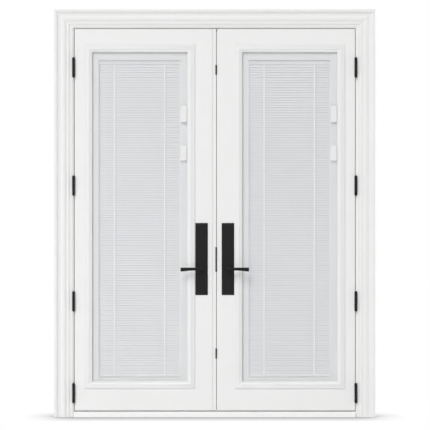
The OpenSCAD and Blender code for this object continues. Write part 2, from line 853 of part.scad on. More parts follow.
module lock(side) {
    draw_depth = bolt_l + bolt_throw + slip;
    color(side == right ? hardware_black : bolt_steel) on_leaf(side) difference() {
        lock_form(side, 0, 0);
        translate([leaf_w - backset, -cut, lever_rise]) rotate([-90, 0, 0])
            cylinder(h = leaf_t + 2 * cut, r = neck_r);
        if (side == right) {
            bolt_channel(dead_z, deadbolt_h, draw_depth);
            for (z = tongue_z) bolt_channel(z, tongue_h, draw_depth);
        }
    }
}

// A bolt with a chamfered nose, in leaf places
module lock_bolt(z, height) {
    nose = bolt_t / 4;
    half = bolt_t / 2;
    on_leaf(right) translate([leaf_w, mid_y, z - height / 2]) linear_extrude(height)
        polygon([[-bolt_l, -half], [-nose, -half], [0, nose - half], [0, half - nose], [-nose, half],
            [-bolt_l, half]]);
}

module deadbolt() {
    color(bolt_steel) lock_bolt(dead_z, deadbolt_h);
}

module tongues() {
    color(bolt_steel) for (z = tongue_z) lock_bolt(z, tongue_h);
}

// Places of the three strikes: height, plate height and bolt height
strikes = [[tongue_z[0], tongue_strike_h, tongue_h], [dead_z, dead_strike_h, deadbolt_h],
    [tongue_z[1], tongue_strike_h, tongue_h]];

// A bolt's way into the astragal, from its outer face
module bolt_pocket(strike, depth) {
    w = bolt_t + 2 * pocket_play;
    h = strike[2] + 2 * pocket_play;
    translate([astragal_end - depth, mid_y - w / 2, leaf_z + strike[0] - h / 2]) cube([depth + cut, w, h]);
}

// The bar on the passive leaf's edge that the active leaf closes against
module astragal() {
    color(paint_white) difference() {
        translate([0, 0, leaf_z]) linear_extrude(leaf_h) polygon([[astragal_x, joint_groove],
            [astragal_x + joint_groove, 0], [astragal_end, 0], [astragal_end, leaf_t],
            [astragal_x + joint_groove, leaf_t], [astragal_x, leaf_t - joint_groove]]);
        for (s = strikes) {
            bolt_pocket(s, pocket_d);
            translate([astragal_end - strike_t, -cut, leaf_z + s[0] - s[1] / 2])
                cube([strike_t + cut, mid_y + strike_w / 2 + cut, s[1]]);
        }
        translate([rod_x, mid_y, leaf_z + leaf_h - rod_l - bolt_throw - 2 * rod_play_end])
            cylinder(h = rod_l + bolt_throw + 2 * rod_play_end + cut, r = rod_d / 2 + running_play);
        translate([rod_x, mid_y, leaf_z - cut])
            cylinder(h = rod_l + bolt_throw + 2 * rod_play_end + cut, r = rod_d / 2 + running_play);
    }
}

// A soft strip on the astragal's edge, behind the strikes
module astragal_seal() {
    strike_back = mid_y + strike_w / 2;
    color(seal_grey) translate([astragal_end, (strike_back + leaf_t) / 2, leaf_z]) linear_extrude(leaf_h)
        rotate(-90) polygon(bulb(edge_seal_w, meeting_gap - edge_seal_clear));
}

// Strike plates in the astragal's edge, each with a lip towards the room
module astragal_strikes() {
    lip_x = meeting_gap - lip_clear;
    back = mid_y + strike_w / 2;
    color(hardware_black) for (s = strikes) difference() {
        translate([astragal_end - strike_t, 0, leaf_z + s[0] - s[1] / 2]) linear_extrude(s[1])
            polygon([[0, back], [0, 0], [-lip_wrap, 0], [-lip_wrap, -lip_proud],
                [strike_t + lip_x, -lip_proud], [strike_t + lip_x, lip_proud], [strike_t, 2 * lip_proud],
                [strike_t, back]]);
        bolt_pocket(s, strike_t + cut);
    }
}

// Round shoot bolts that run in the astragal's ends
module shoot_bolt(low) {
    color(bolt_steel) translate([rod_x, mid_y, low]) cylinder(h = rod_l, r = rod_d / 2);
}

module top_bolt() {
    shoot_bolt(leaf_z + leaf_h - rod_play_end - rod_l);
}

module bottom_bolt() {
    shoot_bolt(leaf_z + rod_play_end);
}

jamb(left);  // left_jamb
jamb(right);  // right_jamb
head_jamb();
sill();
threshold();
side_casing(left);  // left_casing
side_casing(right);  // right_casing
head_casing();
side_seals();
head_seal();
frame_hinge_leaves();
hinge_pins();
head_strike();
skin(left, false);  // left_inner_skin
skin(left, true);  // left_outer_skin
core(left);  // left_core
sweep(left);  // left_sweep
leaf_hinges(left);  // left_leaf_hinges
lite_frame(left, false);  // left_inner_lite_frame
lite_frame(left, true);  // left_outer_lite_frame
glass(left, false);  // left_inner_glass
glass(left, true);  // left_outer_glass
cassette(left);  // left_cassette
headrail(left);  // left_headrail
slats(left);  // left_slats
bottom_bar(left);  // left_bottom_bar
slider(left, tilt_slider_h, tilt_slider_drop);  // left_tilt_slider
slider(left, lift_slider_h, lift_slider_drop);  // left_lift_slider
handle_plate(left, false);  // left_inner_plate
handle_plate(left, true);  // left_outer_plate
inner_lever(left);  // left_inner_lever
outer_lever(left);  // left_outer_lever
lock(left);  // left_lock
astragal();
astragal_seal();
astragal_strikes();
top_bolt();
bottom_bolt();
skin(right, false);  // right_inner_skin
skin(right, true);  // right_outer_skin
core(right);  // right_core
sweep(right);  // right_sweep
leaf_hinges(right);  // right_leaf_hinges
lite_frame(right, false);  // right_inner_lite_frame
lite_frame(right, true);  // right_outer_lite_frame
glass(right, false);  // right_inner_glass
glass(right, true);  // right_outer_glass
cassette(right);  // right_cassette
headrail(right);  // right_headrail
slats(right);  // right_slats
bottom_bar(right);  // right_bottom_bar
slider(right, tilt_slider_h, tilt_slider_drop);  // right_tilt_slider
slider(right, lift_slider_h, lift_slider_drop);  // right_lift_slider
handle_plate(right, false);  // right_inner_plate
handle_plate(right, true);  // right_outer_plate
inner_lever(right);  // right_inner_lever
outer_lever(right);  // right_outer_lever
lock(right);  // right_lock
deadbolt();
tongues();
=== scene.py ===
"""Finishes of a glazed steel double entry door, built round its packed solids."""

import json
import math

import bmesh
import bpy
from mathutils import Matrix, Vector


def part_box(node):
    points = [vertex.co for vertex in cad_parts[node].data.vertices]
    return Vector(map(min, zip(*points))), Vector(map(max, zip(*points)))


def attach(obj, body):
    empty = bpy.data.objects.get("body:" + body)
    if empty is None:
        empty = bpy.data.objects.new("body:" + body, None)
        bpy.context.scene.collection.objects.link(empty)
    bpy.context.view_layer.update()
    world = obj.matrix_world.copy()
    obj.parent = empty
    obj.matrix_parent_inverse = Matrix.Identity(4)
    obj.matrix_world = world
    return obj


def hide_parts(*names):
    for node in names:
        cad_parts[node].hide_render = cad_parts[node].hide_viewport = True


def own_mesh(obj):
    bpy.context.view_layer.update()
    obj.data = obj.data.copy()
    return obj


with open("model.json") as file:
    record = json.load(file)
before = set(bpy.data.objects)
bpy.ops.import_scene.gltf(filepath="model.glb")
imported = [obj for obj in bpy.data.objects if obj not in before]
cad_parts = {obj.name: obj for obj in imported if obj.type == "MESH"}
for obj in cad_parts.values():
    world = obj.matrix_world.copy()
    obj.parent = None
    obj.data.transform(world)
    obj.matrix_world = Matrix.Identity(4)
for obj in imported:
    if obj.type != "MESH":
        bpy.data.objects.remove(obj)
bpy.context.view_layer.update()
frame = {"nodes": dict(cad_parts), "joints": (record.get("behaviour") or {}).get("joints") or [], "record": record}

bl_info = {
    "name": "Glazed Double Door",
    "version": (1, 0, 0),
    "blender": (4, 5, 0),
    "location": "View3D > Sidebar > Door",
    "description": "Paints, blinds, hardware and stage of a glazed steel double door",
    "category": "Object",
}

# Facts of the packed door
RECORD = frame["record"]
BODY_OF = {node: body for body, nodes in RECORD["behaviour"]["bodies"].items() for node in nodes}
SLOT_OF = {part["node"]: part["material_slot"] for part in RECORD["subparts"]}
JOINTS = {joint["name"]: joint for joint in frame["joints"]}
SIDES = ("left", "right")
FACES = ("inner", "outer")
MM = 0.001


# Settings


class DoorPaintSettings(bpy.types.PropertyGroup):
    """Colours of the painted, moulded and metal pieces"""

    leaf: bpy.props.FloatVectorProperty(
        name="Leaf Paint", description="Satin white of the steel skins", subtype="COLOR",
        default=(0.8, 0.8, 0.795), min=0.0, max=1.0)
    trim: bpy.props.FloatVectorProperty(
        name="Frame Paint", description="Satin white of the jambs and the casing", subtype="COLOR",
        default=(0.79, 0.79, 0.785), min=0.0, max=1.0)
    moulding: bpy.props.FloatVectorProperty(
        name="Lite Moulding", description="Moulded white of the lite frames and the sliders", subtype="COLOR",
        default=(0.775, 0.775, 0.775), min=0.0, max=1.0)
    sill: bpy.props.FloatVectorProperty(
        name="Sill", description="White of the sill", subtype="COLOR",
        default=(0.86, 0.86, 0.857), min=0.0, max=1.0)
    threshold: bpy.props.FloatVectorProperty(
        name="Threshold", description="Grey of the threshold bar", subtype="COLOR",
        default=(0.6, 0.6, 0.6), min=0.0, max=1.0)
    border: bpy.props.FloatVectorProperty(
        name="Blind Border", description="Pale grey of the border round a blind", subtype="COLOR",
        default=(0.71, 0.712, 0.713), min=0.0, max=1.0)
    slat: bpy.props.FloatVectorProperty(
        name="Slats", description="Cool white of the slats", subtype="COLOR",
        default=(0.695, 0.7, 0.714), min=0.0, max=1.0)
    bar: bpy.props.FloatVectorProperty(
        name="Bottom Bar", description="Pale grey of the blinds' bottom bars", subtype="COLOR",
        default=(0.65, 0.652, 0.66), min=0.0, max=1.0)
    tape: bpy.props.FloatVectorProperty(
        name="Ladder Tape", description="White of the ladder tapes", subtype="COLOR",
        default=(0.88, 0.88, 0.88), min=0.0, max=1.0)
    hardware: bpy.props.FloatVectorProperty(
        name="Black Hardware", description="Satin black of handles, hinges and strikes", subtype="COLOR",
        default=(0.007, 0.007, 0.0073), min=0.0, max=1.0)
    steel: bpy.props.FloatVectorProperty(
        name="Bolt Steel", description="Drawn steel of the bolts", subtype="COLOR",
        default=(0.55, 0.56, 0.58), min=0.0, max=1.0)
    seal: bpy.props.FloatVectorProperty(
        name="Seals", description="Dark grey of the soft seals", subtype="COLOR",
        default=(0.05, 0.05, 0.052), min=0.0, max=1.0)
    sweep: bpy.props.FloatVectorProperty(
        name="Sweep", description="Pale grey of the sweeps under the leaves", subtype="COLOR",
        default=(0.62, 0.62, 0.62), min=0.0, max=1.0)
    foam: bpy.props.FloatVectorProperty(
        name="Foam", description="Cream of the foam between the skins", subtype="COLOR",
        default=(0.72, 0.62, 0.42), min=0.0, max=1.0)


class DoorBlindSettings(bpy.types.PropertyGroup):
    """Sizes of the blinds between the panes"""

    pitch: bpy.props.FloatProperty(
        name="Slat Pitch", description="Distance from slat to slat", unit="LENGTH",
        default=15.86 * MM, min=12 * MM, max=22 * MM)
    width: bpy.props.FloatProperty(
        name="Slat Width", description="Width of one slat", unit="LENGTH",
        default=17.5 * MM, min=14 * MM, max=25 * MM)
    thickness: bpy.props.FloatProperty(
        name="Slat Thickness", description="Thickness of one slat", unit="LENGTH",
        default=0.4 * MM, min=0.2 * MM, max=1 * MM)
    crown: bpy.props.FloatProperty(
        name="Slat Crown", description="Rise of a slat's curved section", unit="LENGTH",
        default=1.3 * MM, min=0.0, max=3 * MM)
    tilt: bpy.props.FloatProperty(
        name="Slat Tilt", description="Turn of the slats from level", subtype="ANGLE",
        default=math.radians(68), min=0.0, max=math.radians(80))
    ladder_inset: bpy.props.FloatProperty(
        name="Ladder Inset", description="Distance of the ladder tapes from the slats' ends", unit="LENGTH",
        default=98 * MM, min=40 * MM, max=200 * MM)
    tape_width: bpy.props.FloatProperty(
        name="Tape Width", description="Width of a ladder tape", unit="LENGTH",
        default=8 * MM, min=1 * MM, max=12 * MM)
    tape_thickness: bpy.props.FloatProperty(
        name="Tape Thickness", description="Thickness of a ladder tape", unit="LENGTH",
        default=0.9 * MM, min=0.4 * MM, max=2 * MM)


class DoorHardwareSettings(bpy.types.PropertyGroup):
    """Sizes of the hardware's softened edges and screws"""

    plate_edge: bpy.props.FloatProperty(
        name="Plate Edge", description="Rounding of the handle plates' edges", unit="LENGTH",
        default=1.1 * MM, min=0.1 * MM, max=2 * MM)
    slider_edge: bpy.props.FloatProperty(
        name="Slider Edge", description="Rounding of the sliders' edges", unit="LENGTH",
        default=1.4 * MM, min=0.1 * MM, max=2 * MM)
    hinge_edge: bpy.props.FloatProperty(
        name="Hinge Edge", description="Rounding of the hinges' edges", unit="LENGTH",
        default=0.35 * MM, min=0.05 * MM, max=1 * MM)
    trim_edge: bpy.props.FloatProperty(
        name="Trim Edge", description="Rounding of the painted edges", unit="LENGTH",
        default=0.8 * MM, min=0.1 * MM, max=2 * MM)
    moulding_edge: bpy.props.FloatProperty(
        name="Moulding Edge", description="Rounding of the lite mouldings' edges", unit="LENGTH",
        default=0.4 * MM, min=0.1 * MM, max=1 * MM)
    screw_radius: bpy.props.FloatProperty(
        name="Screw Radius", description="Radius of a screw's head", unit="LENGTH",
        default=4.0 * MM, min=1 * MM, max=8 * MM)
    screw_rise: bpy.props.FloatProperty(
        name="Screw Rise", description="Rise of a screw's head above its plate", unit="LENGTH",
        default=0.5 * MM, min=0.2 * MM, max=2 * MM)


class DoorStageSettings(bpy.types.PropertyGroup):
    """Camera, light and floor"""

    frame_width: bpy.props.FloatProperty(
        name="Frame Width", description="Width of the picture in the plane of the leaves", unit="LENGTH",
        default=2.7284, min=1.0, max=6.0)
    aim_x: bpy.props.FloatProperty(
        name="Aim X", description="Sideways place of the picture's middle", unit="LENGTH",
        default=0.0016, min=-1.0, max=1.0)
    aim_z: bpy.props.FloatProperty(
        name="Aim Z", description="Height of the picture's middle", unit="LENGTH",
        default=1.2823, min=0.0, max=3.0)
    distance: bpy.props.FloatProperty(
        name="Camera Distance", description="Distance of the camera from the leaves", unit="LENGTH",
        default=12.0, min=2.0, max=40.0)
    fill: bpy.props.FloatProperty(
        name="Fill Light", description="Strength of the light from all round",
        default=0.36, min=0.0, max=2.0)
    key: bpy.props.FloatProperty(
        name="Key Light", description="Strength of the light from the upper left",
        default=1.9, min=0.0, max=10.0)
    key_spread: bpy.props.FloatProperty(
        name="Key Spread", description="Apparent width of the key light", subtype="ANGLE",
        default=math.radians(30), min=0.0, max=math.radians(60))
    back: bpy.props.FloatProperty(
        name="Back Light", description="Strength of the light on the outside face",
        default=1.2, min=0.0, max=10.0)
    low_fill: bpy.props.FloatProperty(
        name="Low Fill", description="Power of the soft lamp at the lower left, in watts",
        default=18.0, min=0.0, max=1000.0)
    shadow_reach: bpy.props.FloatProperty(
        name="Shadow Reach", description="Reach of the door's shadow on the floor", unit="LENGTH",
        default=0.28, min=0.01, max=2.0)
    shadow_depth: bpy.props.FloatProperty(
        name="Shadow Depth", description="Depth of the door's shadow on the floor",
        default=1.25, min=0.1, max=4.0)


# Nodes, shader node groups and finishes


def add_node(tree, kind, place=(0, 0), **settings):
    """A new node with its settings."""
    node = tree.nodes.new(kind)
    node.location = place
    for name, value in settings.items():
        setattr(node, name, value)
    return node


def math_node(tree, operation, first, second, place=(0, 0)):
    """A Math node on two values, each a socket or a number; returns its output."""
    node = add_node(tree, "ShaderNodeMath", place, operation=operation)
    for socket, value in zip(node.inputs, (first, second)):
        if isinstance(value, (int, float)):
            socket.default_value = value
        else:
            tree.links.new(value, socket)
    return node.outputs["Value"]


def new_group(name, inputs, outputs):
    """A shader node group with named sockets; returns it with its input and output nodes."""
    group = bpy.data.node_groups.new(name, "ShaderNodeTree")
    for label, kind, default in inputs:
        socket = group.interface.new_socket(label, in_out="INPUT", socket_type=kind)
        socket.default_value = default
    for label, kind in outputs:
        group.interface.new_socket(label, in_out="OUTPUT", socket_type=kind)
    return group, add_node(group, "NodeGroupInput", (-900, 0)), add_node(group, "NodeGroupOutput", (600, 0))


WHITE = (1.0, 1.0, 1.0, 1.0)
UNIT = (1.0, 1.0, 1.0)
ALONG_X = (0.03, 1.0, 1.0)
ALONG_Z = (1.0, 1.0, 0.03)
BLOTCH_DETAIL = 3.0
PEEL_DETAIL = 2.0
PEEL_IN_TONE = 0.25
SLOW_TONE_SCALE = 14.0
SLOW_TONE_DETAIL = 4.0
BUMP_STRENGTH = 0.5
GLASS_TINT = (0.98, 0.984, 0.986, 1.0)
GLASS_LIGHT_TINT = (0.975, 0.978, 0.98, 1.0)
GLASS_IOR = 1.45
SMEAR_SCALE = 5.0
SMEAR_ROUGHNESS = 0.02
SURFACE = [("Colour", "NodeSocketColor"), ("Roughness", "NodeSocketFloat"), ("Height", "NodeSocketFloat")]


def tone_and_gloss(group, given, made, factor):
    """Puts out a tone between the two colours and a gloss between the two limits, by one factor."""
    link = group.links.new
    tone = add_node(group, "ShaderNodeMix", (0, 200), data_type="RGBA")
    gloss = add_node(group, "ShaderNodeMapRange", (0, -100))
    link(factor, tone.inputs["Factor"])
    link(given.outputs["Colour"], tone.inputs["A"])
    link(given.outputs["Shade"], tone.inputs["B"])
    link(factor, gloss.inputs["Value"])
    link(given.outputs["Roughness Low"], gloss.inputs["To Min"])
    link(given.outputs["Roughness High"], gloss.inputs["To Max"])
    link(tone.outputs["Result"], made.inputs["Colour"])
    link(gloss.outputs["Result"], made.inputs["Roughness"])


def coat_group():
    """Sprayed or brushed paint: blotches of tone and gloss, and a fine peel that follows a stretch."""
    group, given, made = new_group(
        "coat_surface",
        [("Colour", "NodeSocketColor", WHITE), ("Shade", "NodeSocketColor", WHITE),
         ("Blotch Scale", "NodeSocketFloat", 3.0), ("Peel Scale", "NodeSocketFloat", 500.0),
         ("Stretch", "NodeSocketVector", UNIT), ("Roughness Low", "NodeSocketFloat", 0.3),
         ("Roughness High", "NodeSocketFloat", 0.5)],
        SURFACE)
    link = group.links.new
    place = add_node(group, "ShaderNodeTexCoord", (-900, -300))
    blotch = add_node(group, "ShaderNodeTexNoise", (-500, 200))
    blotch.inputs["Detail"].default_value = BLOTCH_DETAIL
    stretched = add_node(group, "ShaderNodeVectorMath", (-700, -300), operation="MULTIPLY")
    peel = add_node(group, "ShaderNodeTexNoise", (-500, -200))
    peel.inputs["Detail"].default_value = PEEL_DETAIL
    blend = add_node(group, "ShaderNodeMath", (-250, 0), operation="MULTIPLY_ADD")
    blend.inputs[1].default_value = PEEL_IN_TONE
    link(place.outputs["Object"], blotch.inputs["Vector"])
    link(given.outputs["Blotch Scale"], blotch.inputs["Scale"])
    link(place.outputs["Object"], stretched.inputs[0])
    link(given.outputs["Stretch"], stretched.inputs[1])
    link(stretched.outputs["Vector"], peel.inputs["Vector"])
    link(given.outputs["Peel Scale"], peel.inputs["Scale"])
    link(peel.outputs["Fac"], blend.inputs[0])
    link(blotch.outputs["Fac"], blend.inputs[2])
    tone_and_gloss(group, given, made, blend.outputs["Value"])
    link(peel.outputs["Fac"], made.inputs["Height"])
    return group


def speckle_group():
    """Powder coat or moulded rubber: fine pits over a slow change of tone."""
    group, given, made = new_group(
        "speckle_surface",
        [("Colour", "NodeSocketColor", WHITE), ("Shade", "NodeSocketColor", WHITE),
         ("Pit Scale", "NodeSocketFloat", 900.0), ("Roughness Low", "NodeSocketFloat", 0.3),
         ("Roughness High", "NodeSocketFloat", 0.5)],
        SURFACE)
    link = group.links.new
    place = add_node(group, "ShaderNodeTexCoord", (-900, -300))
    pits = add_node(group, "ShaderNodeTexVoronoi", (-500, -200))
    slow = add_node(group, "ShaderNodeTexNoise", (-500, 200))
    slow.inputs["Scale"].default_value = SLOW_TONE_SCALE
    slow.inputs["Detail"].default_value = SLOW_TONE_DETAIL
    link(place.outputs["Object"], pits.inputs["Vector"])
    link(place.outputs["Object"], slow.inputs["Vector"])
    link(given.outputs["Pit Scale"], pits.inputs["Scale"])
    tone_and_gloss(group, given, made, slow.outputs["Fac"])
    link(pits.outputs["Distance"], made.inputs["Height"])
    return group


def shade_of(colour, share):
    """A colour and its darker tone, with alpha."""
    return (*colour, 1.0), (*[c * share for c in colour], 1.0)


def surface_material(name, group, values, bump, metallic=0.0, specular=0.5):
    """A Principled material whose colour, roughness and bump come from a surface group."""
    material = bpy.data.materials.new(name)
    material.use_nodes = True
    tree = material.node_tree
    shader = tree.nodes["Principled BSDF"]
    shader.inputs["Metallic"].default_value = metallic
    shader.inputs["Specular IOR Level"].default_value = specular
    surface = add_node(tree, "ShaderNodeGroup", (-600, 0), node_tree=group)
    for label, value in values.items():
        surface.inputs[label].default_value = value
    height = add_node(tree, "ShaderNodeBump", (-300, -300))
    height.inputs["Distance"].default_value = bump
    height.inputs["Strength"].default_value = BUMP_STRENGTH
    tree.links.new(surface.outputs["Colour"], shader.inputs["Base Color"])
    tree.links.new(surface.outputs["Roughness"], shader.inputs["Roughness"])
    tree.links.new(surface.outputs["Height"], height.inputs["Height"])
    tree.links.new(height.outputs["Normal"], shader.inputs["Normal"])
    return material


def glass_material():
    """Clear panes with faint smears; lamps shine through them."""
    material = bpy.data.materials.new("clear_glass")
    material.use_nodes = True
    tree = material.node_tree
    shader = tree.nodes["Principled BSDF"]
    shader.inputs["Base Color"].default_value = GLASS_TINT
    shader.inputs["Transmission Weight"].default_value = 1.0
    shader.inputs["IOR"].default_value = GLASS_IOR
    place = add_node(tree, "ShaderNodeTexCoord", (-900, 0))
    smear = add_node(tree, "ShaderNodeTexNoise", (-700, 0))
    smear.inputs["Scale"].default_value = SMEAR_SCALE
    gloss = add_node(tree, "ShaderNodeMapRange", (-450, 0))
    gloss.inputs["To Min"].default_value = 0.0
    gloss.inputs["To Max"].default_value = SMEAR_ROUGHNESS
    path = add_node(tree, "ShaderNodeLightPath", (0, 400))
    clear = add_node(tree, "ShaderNodeBsdfTransparent", (0, -400))
    clear.inputs["Color"].default_value = GLASS_LIGHT_TINT
    mix = add_node(tree, "ShaderNodeMixShader", (400, 0))
    out = tree.nodes["Material Output"]
    tree.links.new(place.outputs["Object"], smear.inputs["Vector"])
    tree.links.new(smear.outputs["Fac"], gloss.inputs["Value"])
    tree.links.new(gloss.outputs["Result"], shader.inputs["Roughness"])
    passing = math_node(
        tree, "MAXIMUM", path.outputs["Is Shadow Ray"], path.outputs["Is Diffuse Ray"], (200, 400))
    tree.links.new(passing, mix.inputs["Fac"])
    tree.links.new(shader.outputs["BSDF"], mix.inputs[1])
    tree.links.new(clear.outputs["BSDF"], mix.inputs[2])
    tree.links.new(mix.outputs["Shader"], out.inputs["Surface"])
    return material


FINISHES = {}


def make_finishes(paint):
    """Every finish of the door, by the name its pieces use."""
    coat = coat_group()
    speckle = speckle_group()

    def coated(name, colour, shade, blotch, peel, rough, bump, stretch=UNIT, **extra):
        light, dark = shade_of(colour, shade)
        FINISHES[name] = surface_material(name, coat, {
            "Colour": light, "Shade": dark, "Blotch Scale": blotch, "Peel Scale": peel, "Stretch": stretch,
            "Roughness Low": rough[0], "Roughness High": rough[1]}, bump, **extra)

    def speckled(name, colour, shade, pits, rough, bump, **extra):
        light, dark = shade_of(colour, shade)
        FINISHES[name] = surface_material(name, speckle, {
            "Colour": light, "Shade": dark, "Pit Scale": pits,
            "Roughness Low": rough[0], "Roughness High": rough[1]}, bump, **extra)

    coated("leaf_paint", paint.leaf, shade=0.975, blotch=2.2, peel=420.0, rough=(0.38, 0.5), bump=0.04 * MM)
    for name, stretch in (("frame_paint", ALONG_Z), ("head_paint", ALONG_X)):
        coated(name, paint.trim, shade=0.97, blotch=2.6, peel=260.0, rough=(0.42, 0.56), bump=0.06 * MM,
               stretch=stretch)
    coated("moulding", paint.moulding, shade=0.975, blotch=3.5, peel=700.0, rough=(0.34, 0.44),
           bump=0.03 * MM)
    coated("astragal_paint", paint.leaf, shade=0.97, blotch=3.0, peel=420.0, rough=(0.38, 0.5),
           bump=0.04 * MM)
    coated("sill_vinyl", paint.sill, shade=0.94, blotch=5.0, peel=320.0, rough=(0.42, 0.6), bump=0.08 * MM,
           stretch=ALONG_X)
    coated("threshold_grey", paint.threshold, shade=0.9, blotch=6.0, peel=500.0, rough=(0.35, 0.5),
           bump=0.06 * MM, stretch=ALONG_X)
    coated("cassette", paint.border, shade=0.98, blotch=4.0, peel=600.0, rough=(0.45, 0.55), bump=0.03 * MM)
    coated("slat", paint.slat, shade=0.955, blotch=9.0, peel=500.0, rough=(0.34, 0.46), bump=0.02 * MM,
           stretch=ALONG_X)
    coated("bottom_bar", paint.bar, shade=0.955, blotch=9.0, peel=500.0, rough=(0.4, 0.52), bump=0.02 * MM,
           stretch=ALONG_X)
    coated("slider", paint.moulding, shade=0.97, blotch=8.0, peel=900.0, rough=(0.36, 0.46), bump=0.03 * MM)
    coated("bolt_steel", paint.steel, shade=0.8, blotch=12.0, peel=900.0, rough=(0.22, 0.36), bump=0.03 * MM,
           stretch=ALONG_X, metallic=1.0)
    coated("tape", paint.tape, shade=0.85, blotch=30.0, peel=1800.0, rough=(0.8, 0.9), bump=0.1 * MM)
    speckled("hardware", paint.hardware, shade=0.7, pits=1300.0, rough=(0.34, 0.48), bump=0.03 * MM,
             specular=0.21)
    speckled("seal", paint.seal, shade=0.75, pits=1100.0, rough=(0.65, 0.8), bump=0.06 * MM)
    speckled("sweep", paint.sweep, shade=0.85, pits=1100.0, rough=(0.6, 0.75), bump=0.06 * MM)
    speckled("foam", paint.foam, shade=0.88, pits=700.0, rough=(0.8, 0.95), bump=0.2 * MM)
    FINISHES["glass"] = glass_material()


# Meshes


def put(name, mesh, finish, body, replaced=()):
    """Links a finished mesh as a piece that rides on a body and stands for CAD nodes."""
    piece = bpy.data.objects.new(name, mesh)
    bpy.context.scene.collection.objects.link(piece)
    if finish is not None:
        mesh.materials.clear()
        mesh.materials.append(FINISHES[finish])
    if replaced:
        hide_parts(*replaced)
    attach(piece, body)
    return piece


def baked(piece):
    """The evaluated mesh of an object whose modifiers are then removed with it."""
    depsgraph = bpy.context.evaluated_depsgraph_get()
    mesh = bpy.data.meshes.new_from_object(piece.evaluated_get(depsgraph), depsgraph=depsgraph)
    name = piece.name
    bpy.data.objects.remove(piece)
    mesh.name = name
    return mesh


def smooth_by_angle(mesh, angle):
    """Smooth shading that keeps the edges sharper than an angle."""
    mesh.shade_smooth()
    mesh.set_sharp_from_angle(angle=angle)


MERGE = 2e-6
FLAT = math.radians(0.6)
CORNER = math.radians(32)
EDGE_SEGMENTS = 2


def is_mitre(edge):
    """Whether an edge runs at half a right angle across the door's face."""
    run = edge.verts[1].co - edge.verts[0].co
    return abs(run.x) > MERGE and abs(abs(run.x) - abs(run.z)) < MERGE


def softened(node, edge, finish=None):
    """A merged copy of a CAD node with rounded edges that takes the node's place."""
    mesh = frame["nodes"][node].data.copy()
    form = bmesh.new()
    form.from_mesh(mesh)
    bmesh.ops.remove_doubles(form, verts=form.verts, dist=MERGE)
    for line in form.edges:
        line.seam = is_mitre(line)
    bmesh.ops.dissolve_limit(form, angle_limit=FLAT, verts=form.verts, edges=form.edges, delimit={"SEAM"})
    form.to_mesh(mesh)
    form.free()
    if "custom_normal" in mesh.attributes:
        mesh.attributes.remove(mesh.attributes["custom_normal"])
    smooth_by_angle(mesh, CORNER)
    draft = bpy.data.objects.new(node + "_draft", mesh)
    bpy.context.scene.collection.objects.link(draft)
    bevel = draft.modifiers.new("Rounded edges", "BEVEL")
    bevel.width = edge
    bevel.segments = EDGE_SEGMENTS
    bevel.limit_method = "ANGLE"
    bevel.angle_limit = CORNER
    bevel.use_clamp_overlap = False
    bevel.miter_outer = "MITER_ARC"
    draft.modifiers.new("Even shading", "WEIGHTED_NORMAL").keep_sharp = True
    slot = SLOT_OF[node]
    return put(node + "_finished", baked(draft), finish or slot, BODY_OF[node], [node])


def solid_of_rings(rings):
    """A closed mesh skinned over rings of equally many points, with its ends capped."""
    form = bmesh.new()
    rows = [[form.verts.new(point) for point in ring] for ring in rings]
    count = len(rows[0])
    for low, high in zip(rows, rows[1:]):
        for i in range(count):
            j = (i + 1) % count
            form.faces.new((low[i], low[j], high[j], high[i]))
    form.faces.new(rows[0])
    form.faces.new(rows[-1])
    bmesh.ops.recalc_face_normals(form, faces=form.faces)
    return form


def eased_block(low, high, axis, ease):
    """A block whose edges are eased at both ends of an axis."""
    across, along = [i for i in range(3) if i != axis]
    ends = ((low[axis], ease), (low[axis] + ease, 0.0), (high[axis] - ease, 0.0), (high[axis], ease))
    rings = []
    for place, inset in ends:
        near, far = low[across] + inset, high[across] - inset
        foot, top = low[along] + inset, high[along] - inset
        ring = []
        for a, b in ((near, foot), (far, foot), (far, top), (near, top)):
            point = Vector()
            point[axis], point[across], point[along] = place, a, b
            ring.append(point)
        rings.append(ring)
    return solid_of_rings(rings)


def join_forms(name, forms):
    """One mesh from several bmesh solids."""
    mesh = bpy.data.meshes.new(name)
    whole = bmesh.new()
    for form in forms:
        part = bpy.data.meshes.new(name + "_part")
        form.to_mesh(part)
        form.free()
        whole.from_mesh(part)
        bpy.data.meshes.remove(part)
    whole.to_mesh(mesh)
    whole.free()
    return mesh


def frame_face(side):
    """Where the jamb's face lies that looks at the leaf."""
    low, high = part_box("threshold")
    return low.x if side == "left" else high.x


def island_boxes(node):
    """Lowest and highest corner of each solid of a CAD node, from the foot up."""
    solid = frame["nodes"][node].data
    form = bmesh.new()
    form.from_mesh(solid)
    bmesh.ops.remove_doubles(form, verts=form.verts, dist=MERGE)
    left = set(form.verts)
    boxes = []
    while left:
        island, front = set(), [left.pop()]
        while front:
            vert = front.pop()
            island.add(vert)
            near = {edge.other_vert(vert) for edge in vert.link_edges} & left
            left -= near
            front += near
        corners = [[fn(v.co[i] for v in island) for i in range(3)] for fn in (min, max)]
        boxes.append(tuple(Vector(c) for c in corners))
    form.free()
    return sorted(boxes, key=lambda b: b[0].z)


# Levers

LEVER_RING = 48
LEVER_SQUARENESS = 9.0
LEVER_ROOT_HALF = 9 * MM
LEVER_THICK = 12 * MM
LEVER_TIP_THICK = 8.4 * MM
LEVER_HEEL = 13 * MM
LEVER_END_ROUND = 1.2 * MM
LEVER_END_SHARE = 0.9
LEVER_FLARE = 2.2
LEVER_FLARE_END = 0.9
LEVER_STATIONS = 8
LEVER_CORNER = math.radians(38)
NECK_RING = 40
NECK_RADIUS = 9 * MM
NECK_EASE = 0.7 * MM
COLLAR_RADIUS = 14 * MM
COLLAR_THICK = 3 * MM
COLLAR_GAP = 0.4 * MM


